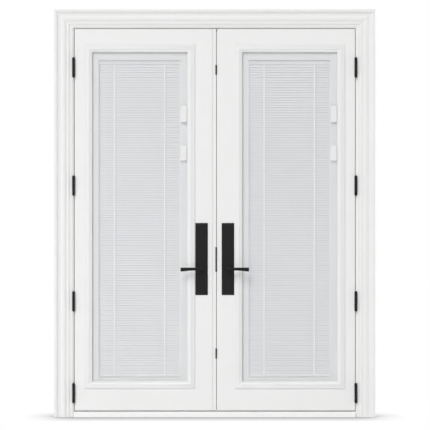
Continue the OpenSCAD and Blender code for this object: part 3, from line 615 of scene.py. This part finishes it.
def superellipse(count, power):
    """Points round a squarish oval that reaches one either way."""
    points = []
    for i in range(count):
        angle = 2 * math.pi * i / count
        across, up = math.cos(angle), math.sin(angle)
        points.append((math.copysign(abs(across) ** (2 / power), across),
                       math.copysign(abs(up) ** (2 / power), up)))
    return points


def lever_grip(axis, reach, length, out, front, foot):
    """The grip: squarish sections from the heel to the tip, whose underside falls to a foot."""
    ease, heel, top = LEVER_END_ROUND, LEVER_HEEL, axis.z + LEVER_ROOT_HALF
    rounding = (1 + LEVER_END_SHARE) / 2
    stations = [(-heel, LEVER_END_SHARE), (ease / 3 - heel, rounding), (ease - heel, 1.0)]
    stations += [(heel + (length - ease - heel) * i / LEVER_STATIONS, 1.0) for i in range(LEVER_STATIONS + 1)]
    stations += [(length - ease / 3, rounding), (length, LEVER_END_SHARE)]
    rings = []
    for x, shrink in stations:
        along = min(max((x - heel) / (length - heel), 0.0), 1.0)
        flare = min(along / LEVER_FLARE_END, 1.0) ** LEVER_FLARE
        base = axis.z - LEVER_ROOT_HALF + (foot - axis.z + LEVER_ROOT_HALF) * flare
        half_z = (top - base) / 2 * shrink
        depth = LEVER_THICK + (LEVER_TIP_THICK - LEVER_THICK) * along
        half_y = depth / 2 * shrink
        middle = Vector((axis.x + reach * x, front - out * depth / 2, (top + base) / 2))
        rings.append([middle + Vector((0, half_y * a, half_z * b))
                      for a, b in superellipse(LEVER_RING, LEVER_SQUARENESS)])
    return solid_of_rings(rings)


def lever_neck(axis, out, front, plate_face, leaf_face):
    """The turned neck with its collar, from inside the plate to inside the grip."""
    neck, ease = NECK_RADIUS, NECK_EASE
    collar = plate_face + out * COLLAR_GAP
    profile = [
        (leaf_face, neck - ease), (leaf_face + out * ease, neck), (collar, neck),
        (collar, COLLAR_RADIUS - ease), (collar + out * ease, COLLAR_RADIUS),
        (collar + out * (COLLAR_THICK - ease), COLLAR_RADIUS),
        (collar + out * COLLAR_THICK, COLLAR_RADIUS - ease),
        (collar + out * COLLAR_THICK, neck + 2 * ease),
        (collar + out * (COLLAR_THICK + ease), neck + ease / 2),
        (collar + out * (COLLAR_THICK + 3 * ease), neck),
        (front - out * (LEVER_THICK + 6 * ease), neck - ease),
        (front - out * LEVER_THICK / 2, neck - 3 * ease)]
    turns = [2 * math.pi * i / NECK_RING for i in range(NECK_RING)]
    return solid_of_rings([[Vector((axis.x + r * math.cos(t), y, axis.z + r * math.sin(t))) for t in turns]
                           for y, r in profile])


def lever_forms(side, face):
    """The grip of a lever and its neck, inside the CAD lever's box."""
    low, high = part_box(f"{side}_{face}_lever")
    plate_low, plate_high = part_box(f"{side}_{face}_plate")
    axis = Vector(JOINTS[f"{side}_lever_turn"]["pos_m"])
    if face == "inner":
        out, front, plate_face, leaf_face = -1, low.y, plate_low.y, plate_high.y
    else:
        out, front, plate_face, leaf_face = 1, high.y, plate_high.y, plate_low.y
    reach, tip = (-1, low.x) if side == "left" else (1, high.x)
    return [lever_grip(axis, reach, abs(tip - axis.x), out, front, low.z),
            lever_neck(axis, out, front, plate_face, leaf_face)]


# Geometry Nodes


def new_tree(name, inputs):
    """A Geometry Nodes tree with named inputs; returns it with its ends."""
    tree = bpy.data.node_groups.new(name, "GeometryNodeTree")
    tree.interface.new_socket("Geometry", in_out="INPUT", socket_type="NodeSocketGeometry")
    for label, kind in inputs:
        tree.interface.new_socket(label, in_out="INPUT", socket_type=kind)
    tree.interface.new_socket("Geometry", in_out="OUTPUT", socket_type="NodeSocketGeometry")
    return tree, add_node(tree, "NodeGroupInput", (-1400, 0)), add_node(tree, "NodeGroupOutput", (1400, 0))


def finish_tree(tree, made, geometry, material):
    """Ends a tree in real faces of one material."""
    real = add_node(tree, "GeometryNodeRealizeInstances", (1000, 0))
    paint = add_node(tree, "GeometryNodeSetMaterial", (1200, 0))
    tree.links.new(geometry, real.inputs["Geometry"])
    tree.links.new(real.outputs["Geometry"], paint.inputs["Geometry"])
    tree.links.new(material, paint.inputs["Material"])
    tree.links.new(paint.outputs["Geometry"], made.inputs["Geometry"])


SLAT_COLUMNS = 2
SLAT_ROWS = 7
SLAT_MERGE = 1e-5

# A slat's section is a parabola, in shares of its crown over shares of its width
CROWN_MIDDLE = 0.5
CROWN_FALL = -4.0


def slat_tree():
    """Crowned slats, tilted and hung one below the other from a top place."""
    tree, given, made = new_tree("blind_slats", [
        ("Top", "NodeSocketVector"), ("Length", "NodeSocketFloat"), ("Width", "NodeSocketFloat"),
        ("Thickness", "NodeSocketFloat"), ("Crown", "NodeSocketFloat"), ("Tilt", "NodeSocketFloat"),
        ("Pitch", "NodeSocketFloat"), ("Count", "NodeSocketInt"), ("Material", "NodeSocketMaterial")])
    link = tree.links.new
    sheet = add_node(tree, "GeometryNodeMeshGrid", (-1100, 300))
    sheet.inputs["Vertices X"].default_value = SLAT_COLUMNS
    sheet.inputs["Vertices Y"].default_value = SLAT_ROWS
    link(given.outputs["Length"], sheet.inputs["Size X"])
    link(given.outputs["Width"], sheet.inputs["Size Y"])
    place = add_node(tree, "GeometryNodeInputPosition", (-1100, -100))
    parts = add_node(tree, "ShaderNodeSeparateXYZ", (-950, -100))
    link(place.outputs["Position"], parts.inputs["Vector"])
    across = math_node(tree, "DIVIDE", parts.outputs["Y"], given.outputs["Width"], (-800, -100))
    square = math_node(tree, "MULTIPLY", across, across, (-650, -100))
    fall = math_node(tree, "MULTIPLY_ADD", square, CROWN_FALL, (-500, -100))
    fall.node.inputs[2].default_value = CROWN_MIDDLE
    rise = math_node(tree, "MULTIPLY", fall, given.outputs["Crown"], (-350, -100))
    lift = add_node(tree, "ShaderNodeCombineXYZ", (-200, -100))
    link(rise, lift.inputs["Z"])
    bent = add_node(tree, "GeometryNodeSetPosition", (-50, 300))
    link(sheet.outputs["Mesh"], bent.inputs["Geometry"])
    link(lift.outputs["Vector"], bent.inputs["Offset"])
    thick = add_node(tree, "GeometryNodeExtrudeMesh", (100, 300))
    thick.inputs["Individual"].default_value = False
    link(bent.outputs["Geometry"], thick.inputs["Mesh"])
    link(given.outputs["Thickness"], thick.inputs["Offset Scale"])
    under = add_node(tree, "GeometryNodeFlipFaces", (100, 100))
    link(bent.outputs["Geometry"], under.inputs["Mesh"])
    whole = add_node(tree, "GeometryNodeJoinGeometry", (250, 300))
    link(thick.outputs["Mesh"], whole.inputs["Geometry"])
    link(under.outputs["Mesh"], whole.inputs["Geometry"])
    closed = add_node(tree, "GeometryNodeMergeByDistance", (400, 300))
    closed.inputs["Distance"].default_value = SLAT_MERGE
    link(whole.outputs["Geometry"], closed.inputs["Geometry"])
    turn = add_node(tree, "ShaderNodeCombineXYZ", (400, 0))
    link(given.outputs["Tilt"], turn.inputs["X"])
    tilted = add_node(tree, "GeometryNodeTransform", (550, 300))
    link(closed.outputs["Geometry"], tilted.inputs["Geometry"])
    link(turn.outputs["Vector"], tilted.inputs["Rotation"])
    drop = add_node(tree, "ShaderNodeCombineXYZ", (400, -200))
    link(math_node(tree, "MULTIPLY", given.outputs["Pitch"], -1.0, (250, -200)), drop.inputs["Z"])
    line = add_node(tree, "GeometryNodeMeshLine", (550, -100))
    link(given.outputs["Count"], line.inputs["Count"])
    link(given.outputs["Top"], line.inputs["Start Location"])
    link(drop.outputs["Vector"], line.inputs["Offset"])
    hung = add_node(tree, "GeometryNodeInstanceOnPoints", (750, 100))
    link(line.outputs["Mesh"], hung.inputs["Points"])
    link(tilted.outputs["Geometry"], hung.inputs["Instance"])
    finish_tree(tree, made, hung.outputs["Instances"], given.outputs["Material"])
    return tree


SCREW_SIDES = 24
SCREW_TOP_SHARE = 0.88
SCREW_SEED = 7
RECESS_SHARE = 0.62
RECESS_SLOT_SHARE = 0.2
RECESS_DEPTH_SHARE = 0.7


def screw_tree():
    """Flat screw heads with a cross recess on points, each facing the way its point says."""
    tree, given, made = new_tree("cross_screws", [
        ("Radius", "NodeSocketFloat"), ("Rise", "NodeSocketFloat"), ("Material", "NodeSocketMaterial")])
    link = tree.links.new
    head = add_node(tree, "GeometryNodeMeshCone", (-900, 300))
    head.inputs["Vertices"].default_value = SCREW_SIDES
    link(given.outputs["Radius"], head.inputs["Radius Bottom"])
    top = math_node(tree, "MULTIPLY", given.outputs["Radius"], SCREW_TOP_SHARE, (-1100, 300))
    link(top, head.inputs["Radius Top"])
    link(given.outputs["Rise"], head.inputs["Depth"])
    long = math_node(tree, "MULTIPLY", given.outputs["Radius"], 2 * RECESS_SHARE, (-1100, 0))
    short = math_node(tree, "MULTIPLY", given.outputs["Radius"], 2 * RECESS_SLOT_SHARE, (-1100, -150))
    cutters = []
    for across, along in ((long, short), (short, long)):
        size = add_node(tree, "ShaderNodeCombineXYZ", (-900, -100))
        link(across, size.inputs["X"])
        link(along, size.inputs["Y"])
        link(math_node(tree, "MULTIPLY", given.outputs["Rise"], 2 * RECESS_DEPTH_SHARE, (-1100, -300)),
             size.inputs["Z"])
        bar = add_node(tree, "GeometryNodeMeshCube", (-700, -100))
        link(size.outputs["Vector"], bar.inputs["Size"])
        lift = add_node(tree, "ShaderNodeCombineXYZ", (-700, -300))
        link(given.outputs["Rise"], lift.inputs["Z"])
        raised = add_node(tree, "GeometryNodeTransform", (-500, -100))
        link(bar.outputs["Mesh"], raised.inputs["Geometry"])
        link(lift.outputs["Vector"], raised.inputs["Translation"])
        cutters.append(raised.outputs["Geometry"])
    cut = add_node(tree, "GeometryNodeMeshBoolean", (-200, 200), operation="DIFFERENCE", solver="EXACT")
    link(head.outputs["Mesh"], cut.inputs["Mesh 1"])
    for cutter in cutters:
        link(cutter, cut.inputs["Mesh 2"])
    facing = add_node(tree, "GeometryNodeInputNamedAttribute", (-200, -200), data_type="FLOAT_VECTOR")
    facing.inputs["Name"].default_value = "facing"
    aligned = add_node(tree, "FunctionNodeAlignRotationToVector", (0, -200), axis="Z")
    link(facing.outputs["Attribute"], aligned.inputs["Vector"])
    spin = add_node(tree, "FunctionNodeRandomValue", (0, -400), data_type="FLOAT")
    spin.inputs["Max"].default_value = math.pi / 2
    spin.inputs["Seed"].default_value = SCREW_SEED
    about = add_node(tree, "FunctionNodeAxisAngleToRotation", (200, -400))
    link(spin.outputs["Value"], about.inputs["Angle"])
    turned = add_node(tree, "FunctionNodeRotateRotation", (400, -200), rotation_space="LOCAL")
    link(aligned.outputs["Rotation"], turned.inputs["Rotation"])
    link(about.outputs["Rotation"], turned.inputs["Rotate By"])
    driven = add_node(tree, "GeometryNodeInstanceOnPoints", (700, 0))
    link(given.outputs["Geometry"], driven.inputs["Points"])
    link(cut.outputs["Mesh"], driven.inputs["Instance"])
    link(turned.outputs["Rotation"], driven.inputs["Rotation"])
    finish_tree(tree, made, driven.outputs["Instances"], given.outputs["Material"])
    return tree


def grown(name, tree, values, points=None):
    """The plain mesh that a tree makes from its named values."""
    base = points or bpy.data.meshes.new(name)
    draft = bpy.data.objects.new(name, base)
    bpy.context.scene.collection.objects.link(draft)
    modifier = draft.modifiers.new("Nodes", "NODES")
    modifier.node_group = tree
    for item in tree.interface.items_tree:
        if item.in_out == "INPUT" and item.name in values:
            modifier[item.identifier] = values[item.name]
    return baked(draft)


# Operators


class DOOR_OT_paint_solids(bpy.types.Operator):
    """Gives every solid of the door its finish"""

    bl_idname = "door.paint_solids"
    bl_label = "Paint Solids"

    def execute(self, context):
        make_finishes(context.scene.door_paint)
        for node, solid in frame["nodes"].items():
            solid.data.materials.clear()
            solid.data.materials.append(FINISHES[SLOT_OF[node]])
        return {"FINISHED"}


class DOOR_OT_dress_frame(bpy.types.Operator):
    """Rounds the edges of the casing, jambs, sill, threshold and seals"""

    bl_idname = "door.dress_frame"
    bl_label = "Dress Frame"

    def execute(self, context):
        edge = context.scene.door_hardware.trim_edge
        for node in ("left_casing", "right_casing", "left_jamb", "right_jamb", "sill", "threshold"):
            softened(node, edge)
        for node in ("head_casing", "head_jamb"):
            softened(node, edge, "head_paint")
        for node in ("side_seals", "head_seal"):
            softened(node, edge)
        return {"FINISHED"}


class DOOR_OT_dress_leaves(bpy.types.Operator):
    """Rounds the edges of the lite mouldings, the blind's rails and the astragal with its seal"""

    bl_idname = "door.dress_leaves"
    bl_label = "Dress Leaves"

    def execute(self, context):
        hardware = context.scene.door_hardware
        for side in SIDES:
            for face in FACES:
                softened(f"{side}_{face}_lite_frame", hardware.moulding_edge)
            softened(f"{side}_headrail", hardware.hinge_edge)
            softened(f"{side}_bottom_bar", hardware.hinge_edge, "bottom_bar")
        softened("astragal", hardware.hinge_edge)
        softened("astragal_seal", hardware.hinge_edge)
        return {"FINISHED"}


class DOOR_OT_set_panes(bpy.types.Operator):
    """Sets the panes, each a hair clear of the border that it is bonded to"""

    bl_idname = "door.set_panes"
    bl_label = "Set Panes"

    bond = 0.25 * MM
    ground_edge = 0.6 * MM

    def execute(self, context):
        for side in SIDES:
            for face in FACES:
                node = f"{side}_{face}_glass"
                low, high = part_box(node)
                if face == "inner":
                    high.y -= self.bond
                else:
                    low.y += self.bond
                mesh = join_forms(node, [eased_block(low, high, 1, self.ground_edge)])
                put(f"{node}_pane", mesh, "glass", BODY_OF[node], [node])
        return {"FINISHED"}


class DOOR_OT_hang_blinds(bpy.types.Operator):
    """Hangs the slats and their ladder tapes between the panes"""

    bl_idname = "door.hang_blinds"
    bl_label = "Hang Blinds"

    tape_ring = 12
    tape_squareness = 4.0
    tape_corner = math.radians(50)

    def execute(self, context):
        blind = context.scene.door_blind
        tree = slat_tree()
        for side in SIDES:
            node = f"{side}_slats"
            low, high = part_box(node)
            slats = self.slats(f"{side}_blind_slats", tree, blind, low, high)
            tapes = self.tapes(blind, low, high)
            for piece in (put(f"{side}_blind_slats", slats, None, BODY_OF[node], [node]),
                          put(f"{side}_ladder_tapes", tapes, "tape", BODY_OF[node])):
                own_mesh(piece)
        return {"FINISHED"}

    def slats(self, name, tree, blind, low, high):
        """Slats whose pitch is fitted to the room between the head rail and the bottom bar."""
        middle = (low + high) / 2
        half_rise = blind.width / 2 * math.sin(blind.tilt) + blind.crown
        room = high.z - low.z - 2 * half_rise
        steps = round(room / blind.pitch)
        mesh = grown(name, tree, {
            "Top": (middle.x, middle.y, high.z - half_rise), "Length": high.x - low.x, "Width": blind.width,
            "Thickness": blind.thickness, "Crown": blind.crown, "Tilt": blind.tilt, "Pitch": room / steps,
            "Count": steps + 1, "Material": FINISHES["slat"]})
        smooth_by_angle(mesh, CORNER)
        return mesh

    def tapes(self, blind, low, high):
        """Flat tapes before and behind the slats, with lightly rounded edges."""
        half_w, half_t = blind.tape_width / 2, blind.tape_thickness / 2
        outline = [(a * half_w, b * half_t) for a, b in superellipse(self.tape_ring, self.tape_squareness)]
        forms = []
        for x in (low.x + blind.ladder_inset, high.x - blind.ladder_inset):
            for y in (low.y + half_t, high.y - half_t):
                forms.append(solid_of_rings([[Vector((x + a, y + b, z)) for a, b in outline]
                                             for z in (low.z, high.z)]))
        mesh = join_forms("ladder_tapes", forms)
        smooth_by_angle(mesh, self.tape_corner)
        return mesh


class DOOR_OT_fit_handles(bpy.types.Operator):
    """Fits the handle plates, the levers and the blind's sliders"""

    bl_idname = "door.fit_handles"
    bl_label = "Fit Handles"

    def execute(self, context):
        hardware = context.scene.door_hardware
        for side in SIDES:
            for face in FACES:
                softened(f"{side}_{face}_plate", hardware.plate_edge)
                node = f"{side}_{face}_lever"
                mesh = join_forms(f"{node}_finished", lever_forms(side, face))
                smooth_by_angle(mesh, LEVER_CORNER)
                put(f"{node}_finished", mesh, "hardware", BODY_OF[node], [node])
            for slider in ("tilt_slider", "lift_slider"):
                softened(f"{side}_{slider}", hardware.slider_edge)
        return {"FINISHED"}


class DOOR_OT_fit_hinges(bpy.types.Operator):
    """Rounds the edges of hinges, pins, bolts and the head strike, and adds the guessed latch faces"""

    bl_idname = "door.fit_hinges"
    bl_label = "Fit Hinges"

    latch_thick = 2.0 * MM
    latch_depth = 4 * MM
    latch_inset = 0.5 * MM
    latch_bond = 0.05 * MM
    latch_ease = 0.2 * MM

    def execute(self, context):
        edge = context.scene.door_hardware.hinge_edge
        for node in ("frame_hinge_leaves", "hinge_pins", "left_leaf_hinges", "right_leaf_hinges",
                     "head_strike", "deadbolt", "tongues", "top_bolt", "bottom_bolt"):
            softened(node, edge)
        put("latch_faces", self.latch_faces(), "hardware", "right_leaf")
        return {"FINISHED"}

    def latch_faces(self):
        """Thin plates before the strikes: a guess at the black line in the gap, without a CAD solid."""
        edge_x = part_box("right_inner_skin")[0].x - self.latch_bond
        forms = []
        for low, high in island_boxes("astragal_strikes"):
            start = Vector((edge_x - self.latch_thick, self.latch_inset, low.z))
            end = Vector((edge_x, self.latch_inset + self.latch_depth, high.z))
            forms.append(eased_block(start, end, 0, self.latch_ease))
        return join_forms("latch_faces", forms)


class DOOR_OT_drive_screws(bpy.types.Operator):
    """Drives the screws of the hinges and the lock strip"""

    bl_idname = "door.drive_screws"
    bl_label = "Drive Screws"

    hinge_height_shares = (0.13, 0.39, 0.61, 0.87)
    hinge_depth_shares = (0.3, 0.72)
    strip_height_shares = (0.012, 0.24, 0.5, 0.76, 0.988)

    def execute(self, context):
        hardware = context.scene.door_hardware
        tree = screw_tree()
        for body, spots in self.spots().items():
            points = bpy.data.meshes.new(f"{body}_screws")
            points.from_pydata([place for place, _ in spots], [], [])
            facing = points.attributes.new("facing", "FLOAT_VECTOR", "POINT")
            for item, (_, way) in zip(facing.data, spots):
                item.vector = way
            mesh = grown(f"{body}_screws", tree, {
                "Radius": hardware.screw_radius, "Rise": hardware.screw_rise,
                "Material": FINISHES["hardware"]}, points)
            put(f"{body}_screws", mesh, None, body)
        return {"FINISHED"}

    def spots(self):
        """Place and way of each screw, by the body that carries it."""
        spots = {"frame": [], "left_leaf": [], "right_leaf": []}
        for side, sign in (("left", -1), ("right", 1)):
            skin_low, skin_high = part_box(f"{side}_inner_skin")
            frame_x = frame_face(side)
            leaf_x = skin_low.x if sign < 0 else skin_high.x
            for low, high in island_boxes(f"{side}_leaf_hinges"):
                for k, share in enumerate(self.hinge_height_shares):
                    z = low.z + (high.z - low.z) * share
                    y = high.y * self.hinge_depth_shares[k % 2]
                    spots["frame"].append(((frame_x, y, z), (-sign, 0, 0)))
                    spots[f"{side}_leaf"].append(((leaf_x, y, z), (sign, 0, 0)))
        lock_low, lock_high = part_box("right_lock")
        for share in self.strip_height_shares:
            z = lock_low.z + (lock_high.z - lock_low.z) * share
            spots["right_leaf"].append(((lock_low.x, (lock_low.y + lock_high.y) / 2, z), (-1, 0, 0)))
        return spots


BEFORE_BOUNCE = 0.5


def seen_directly(tree):
    """One for rays from the camera, from a reflection or through glass, and none for light on a surface."""
    path = add_node(tree, "ShaderNodeLightPath", (-800, 300))
    shown = path.outputs["Is Camera Ray"]
    for kind, place in (("Is Glossy Ray", (-600, 300)), ("Is Transmission Ray", (-400, 300))):
        shown = math_node(tree, "MAXIMUM", shown, path.outputs[kind], place)
    first = math_node(tree, "LESS_THAN", path.outputs["Diffuse Depth"], BEFORE_BOUNCE, (-400, 100))
    return math_node(tree, "MULTIPLY", shown, first, (-200, 300))


class DOOR_OT_build_stage(bpy.types.Operator):
    """Sets the floor, the light and the camera"""

    bl_idname = "door.build_stage"
    bl_label = "Build Stage"

    floor_half = 40.0
    floor_tone = (0.9, 0.9, 0.9, 1.0)
    floor_roughness = 0.9
    contact_samples = 32
    far_end = 200.0
    key_way = Vector((-0.44, -1.0, 1.0))
    back_way = Vector((-0.5, 1.0, 0.8))
    low_fill_place = Vector((-3.0, -3.4, 0.7))
    low_fill_aim = Vector((-0.3, 0.0, 0.9))
    low_fill_size = 2.0

    def execute(self, context):
        stage = context.scene.door_stage
        context.scene.view_settings.view_transform = "Standard"
        self.floor(stage)
        self.light(context, stage)
        self.camera(context, stage)
        return {"FINISHED"}

    def floor(self, stage):
        """A pale floor that stays white but for the door's shadow."""
        half = self.floor_half
        mesh = bpy.data.meshes.new("floor")
        corners = [(-half, -half, 0), (half, -half, 0), (half, half, 0), (-half, half, 0)]
        mesh.from_pydata(corners, [], [(0, 1, 2, 3)])
        material = bpy.data.materials.new("pale_floor")
        material.use_nodes = True
        tree = material.node_tree
        shader = tree.nodes["Principled BSDF"]
        shader.inputs["Base Color"].default_value = self.floor_tone
        shader.inputs["Roughness"].default_value = self.floor_roughness
        shader.inputs["Specular IOR Level"].default_value = 0.0
        contact = add_node(tree, "ShaderNodeAmbientOcclusion", (-400, -300), samples=self.contact_samples)
        contact.inputs["Distance"].default_value = stage.shadow_reach
        shadow = math_node(tree, "POWER", contact.outputs["AO"], stage.shadow_depth, (-200, -300))
        glow = add_node(tree, "ShaderNodeEmission", (0, -300))
        mix = add_node(tree, "ShaderNodeMixShader", (400, 0))
        tree.links.new(shadow, glow.inputs["Strength"])
        tree.links.new(seen_directly(tree), mix.inputs["Fac"])
        tree.links.new(shader.outputs["BSDF"], mix.inputs[1])
        tree.links.new(glow.outputs["Emission"], mix.inputs[2])
        tree.links.new(mix.outputs["Shader"], tree.nodes["Material Output"].inputs["Surface"])
        mesh.materials.append(material)
        floor = bpy.data.objects.new("floor", mesh)
        bpy.context.scene.collection.objects.link(floor)

    def light(self, context, stage):
        """A white world, weaker as fill light, soft light on both faces and a low lamp."""
        world = bpy.data.worlds.new("white_room")
        world.use_nodes = True
        context.scene.world = world
        tree = world.node_tree
        fill = tree.nodes["Background"]
        fill.inputs["Color"].default_value = WHITE
        fill.inputs["Strength"].default_value = stage.fill
        white = add_node(tree, "ShaderNodeBackground", (0, -200))
        white.inputs["Color"].default_value = WHITE
        mix = add_node(tree, "ShaderNodeMixShader", (300, 0))
        tree.links.new(seen_directly(tree), mix.inputs["Fac"])
        tree.links.new(fill.outputs["Background"], mix.inputs[1])
        tree.links.new(white.outputs["Background"], mix.inputs[2])
        tree.links.new(mix.outputs["Shader"], tree.nodes["World Output"].inputs["Surface"])
        suns = (("key_light", stage.key, self.key_way), ("back_light", stage.back, self.back_way))
        for name, strength, way in suns:
            sun = bpy.data.lights.new(name, "SUN")
            sun.energy = strength
            sun.angle = stage.key_spread
            lamp = bpy.data.objects.new(name, sun)
            lamp.rotation_euler = way.to_track_quat("Z", "Y").to_euler()
            context.scene.collection.objects.link(lamp)
        panel = bpy.data.lights.new("low_fill", "AREA")
        panel.energy = stage.low_fill
        panel.size = self.low_fill_size
        low = bpy.data.objects.new("low_fill", panel)
        low.location = self.low_fill_place
        low.rotation_euler = (self.low_fill_place - self.low_fill_aim).to_track_quat("Z", "Y").to_euler()
        low.visible_camera = False
        low.visible_glossy = False
        low.visible_transmission = False
        context.scene.collection.objects.link(low)

    def camera(self, context, stage):
        """A long lens that looks straight at the room side."""
        lens = bpy.data.cameras.new("camera")
        lens.lens = lens.sensor_width * stage.distance / stage.frame_width
        lens.clip_end = self.far_end
        camera = bpy.data.objects.new("camera", lens)
        camera.location = (stage.aim_x, -stage.distance, stage.aim_z)
        camera.rotation_euler = (math.radians(90), 0, 0)
        context.scene.collection.objects.link(camera)
        context.scene.camera = camera


# Panel and registration

STEPS = (
    DOOR_OT_paint_solids, DOOR_OT_dress_frame, DOOR_OT_dress_leaves, DOOR_OT_set_panes, DOOR_OT_hang_blinds,
    DOOR_OT_fit_handles, DOOR_OT_fit_hinges, DOOR_OT_drive_screws, DOOR_OT_build_stage)
SETTINGS = {"door_paint": DoorPaintSettings, "door_blind": DoorBlindSettings,
            "door_hardware": DoorHardwareSettings, "door_stage": DoorStageSettings}


class DOOR_PT_sidebar(bpy.types.Panel):
    """Settings and steps of the door in the sidebar"""

    bl_idname = "DOOR_PT_sidebar"
    bl_label = "Glazed Double Door"
    bl_space_type = "VIEW_3D"
    bl_region_type = "UI"
    bl_category = "Door"

    def draw(self, context):
        layout = self.layout
        for name, group in SETTINGS.items():
            box = layout.box()
            box.label(text=group.__doc__)
            for key in group.__annotations__:
                box.prop(getattr(context.scene, name), key)
        for step in STEPS:
            layout.operator(step.bl_idname)


def register():
    """Adds the settings, the steps and the panel."""
    for cls in (*SETTINGS.values(), *STEPS, DOOR_PT_sidebar):
        bpy.utils.register_class(cls)
    for name, group in SETTINGS.items():
        setattr(bpy.types.Scene, name, bpy.props.PointerProperty(type=group))


def unregister():
    """Takes the settings, the steps and the panel away."""
    for name in SETTINGS:
        delattr(bpy.types.Scene, name)
    for cls in reversed((*SETTINGS.values(), *STEPS, DOOR_PT_sidebar)):
        bpy.utils.unregister_class(cls)


def main():
    """Runs every step."""
    register()
    bpy.ops.door.paint_solids()
    bpy.ops.door.dress_frame()
    bpy.ops.door.dress_leaves()
    bpy.ops.door.set_panes()
    bpy.ops.door.hang_blinds()
    bpy.ops.door.fit_handles()
    bpy.ops.door.fit_hinges()
    bpy.ops.door.drive_screws()
    bpy.ops.door.build_stage()


if __name__ == "__main__":
    main()
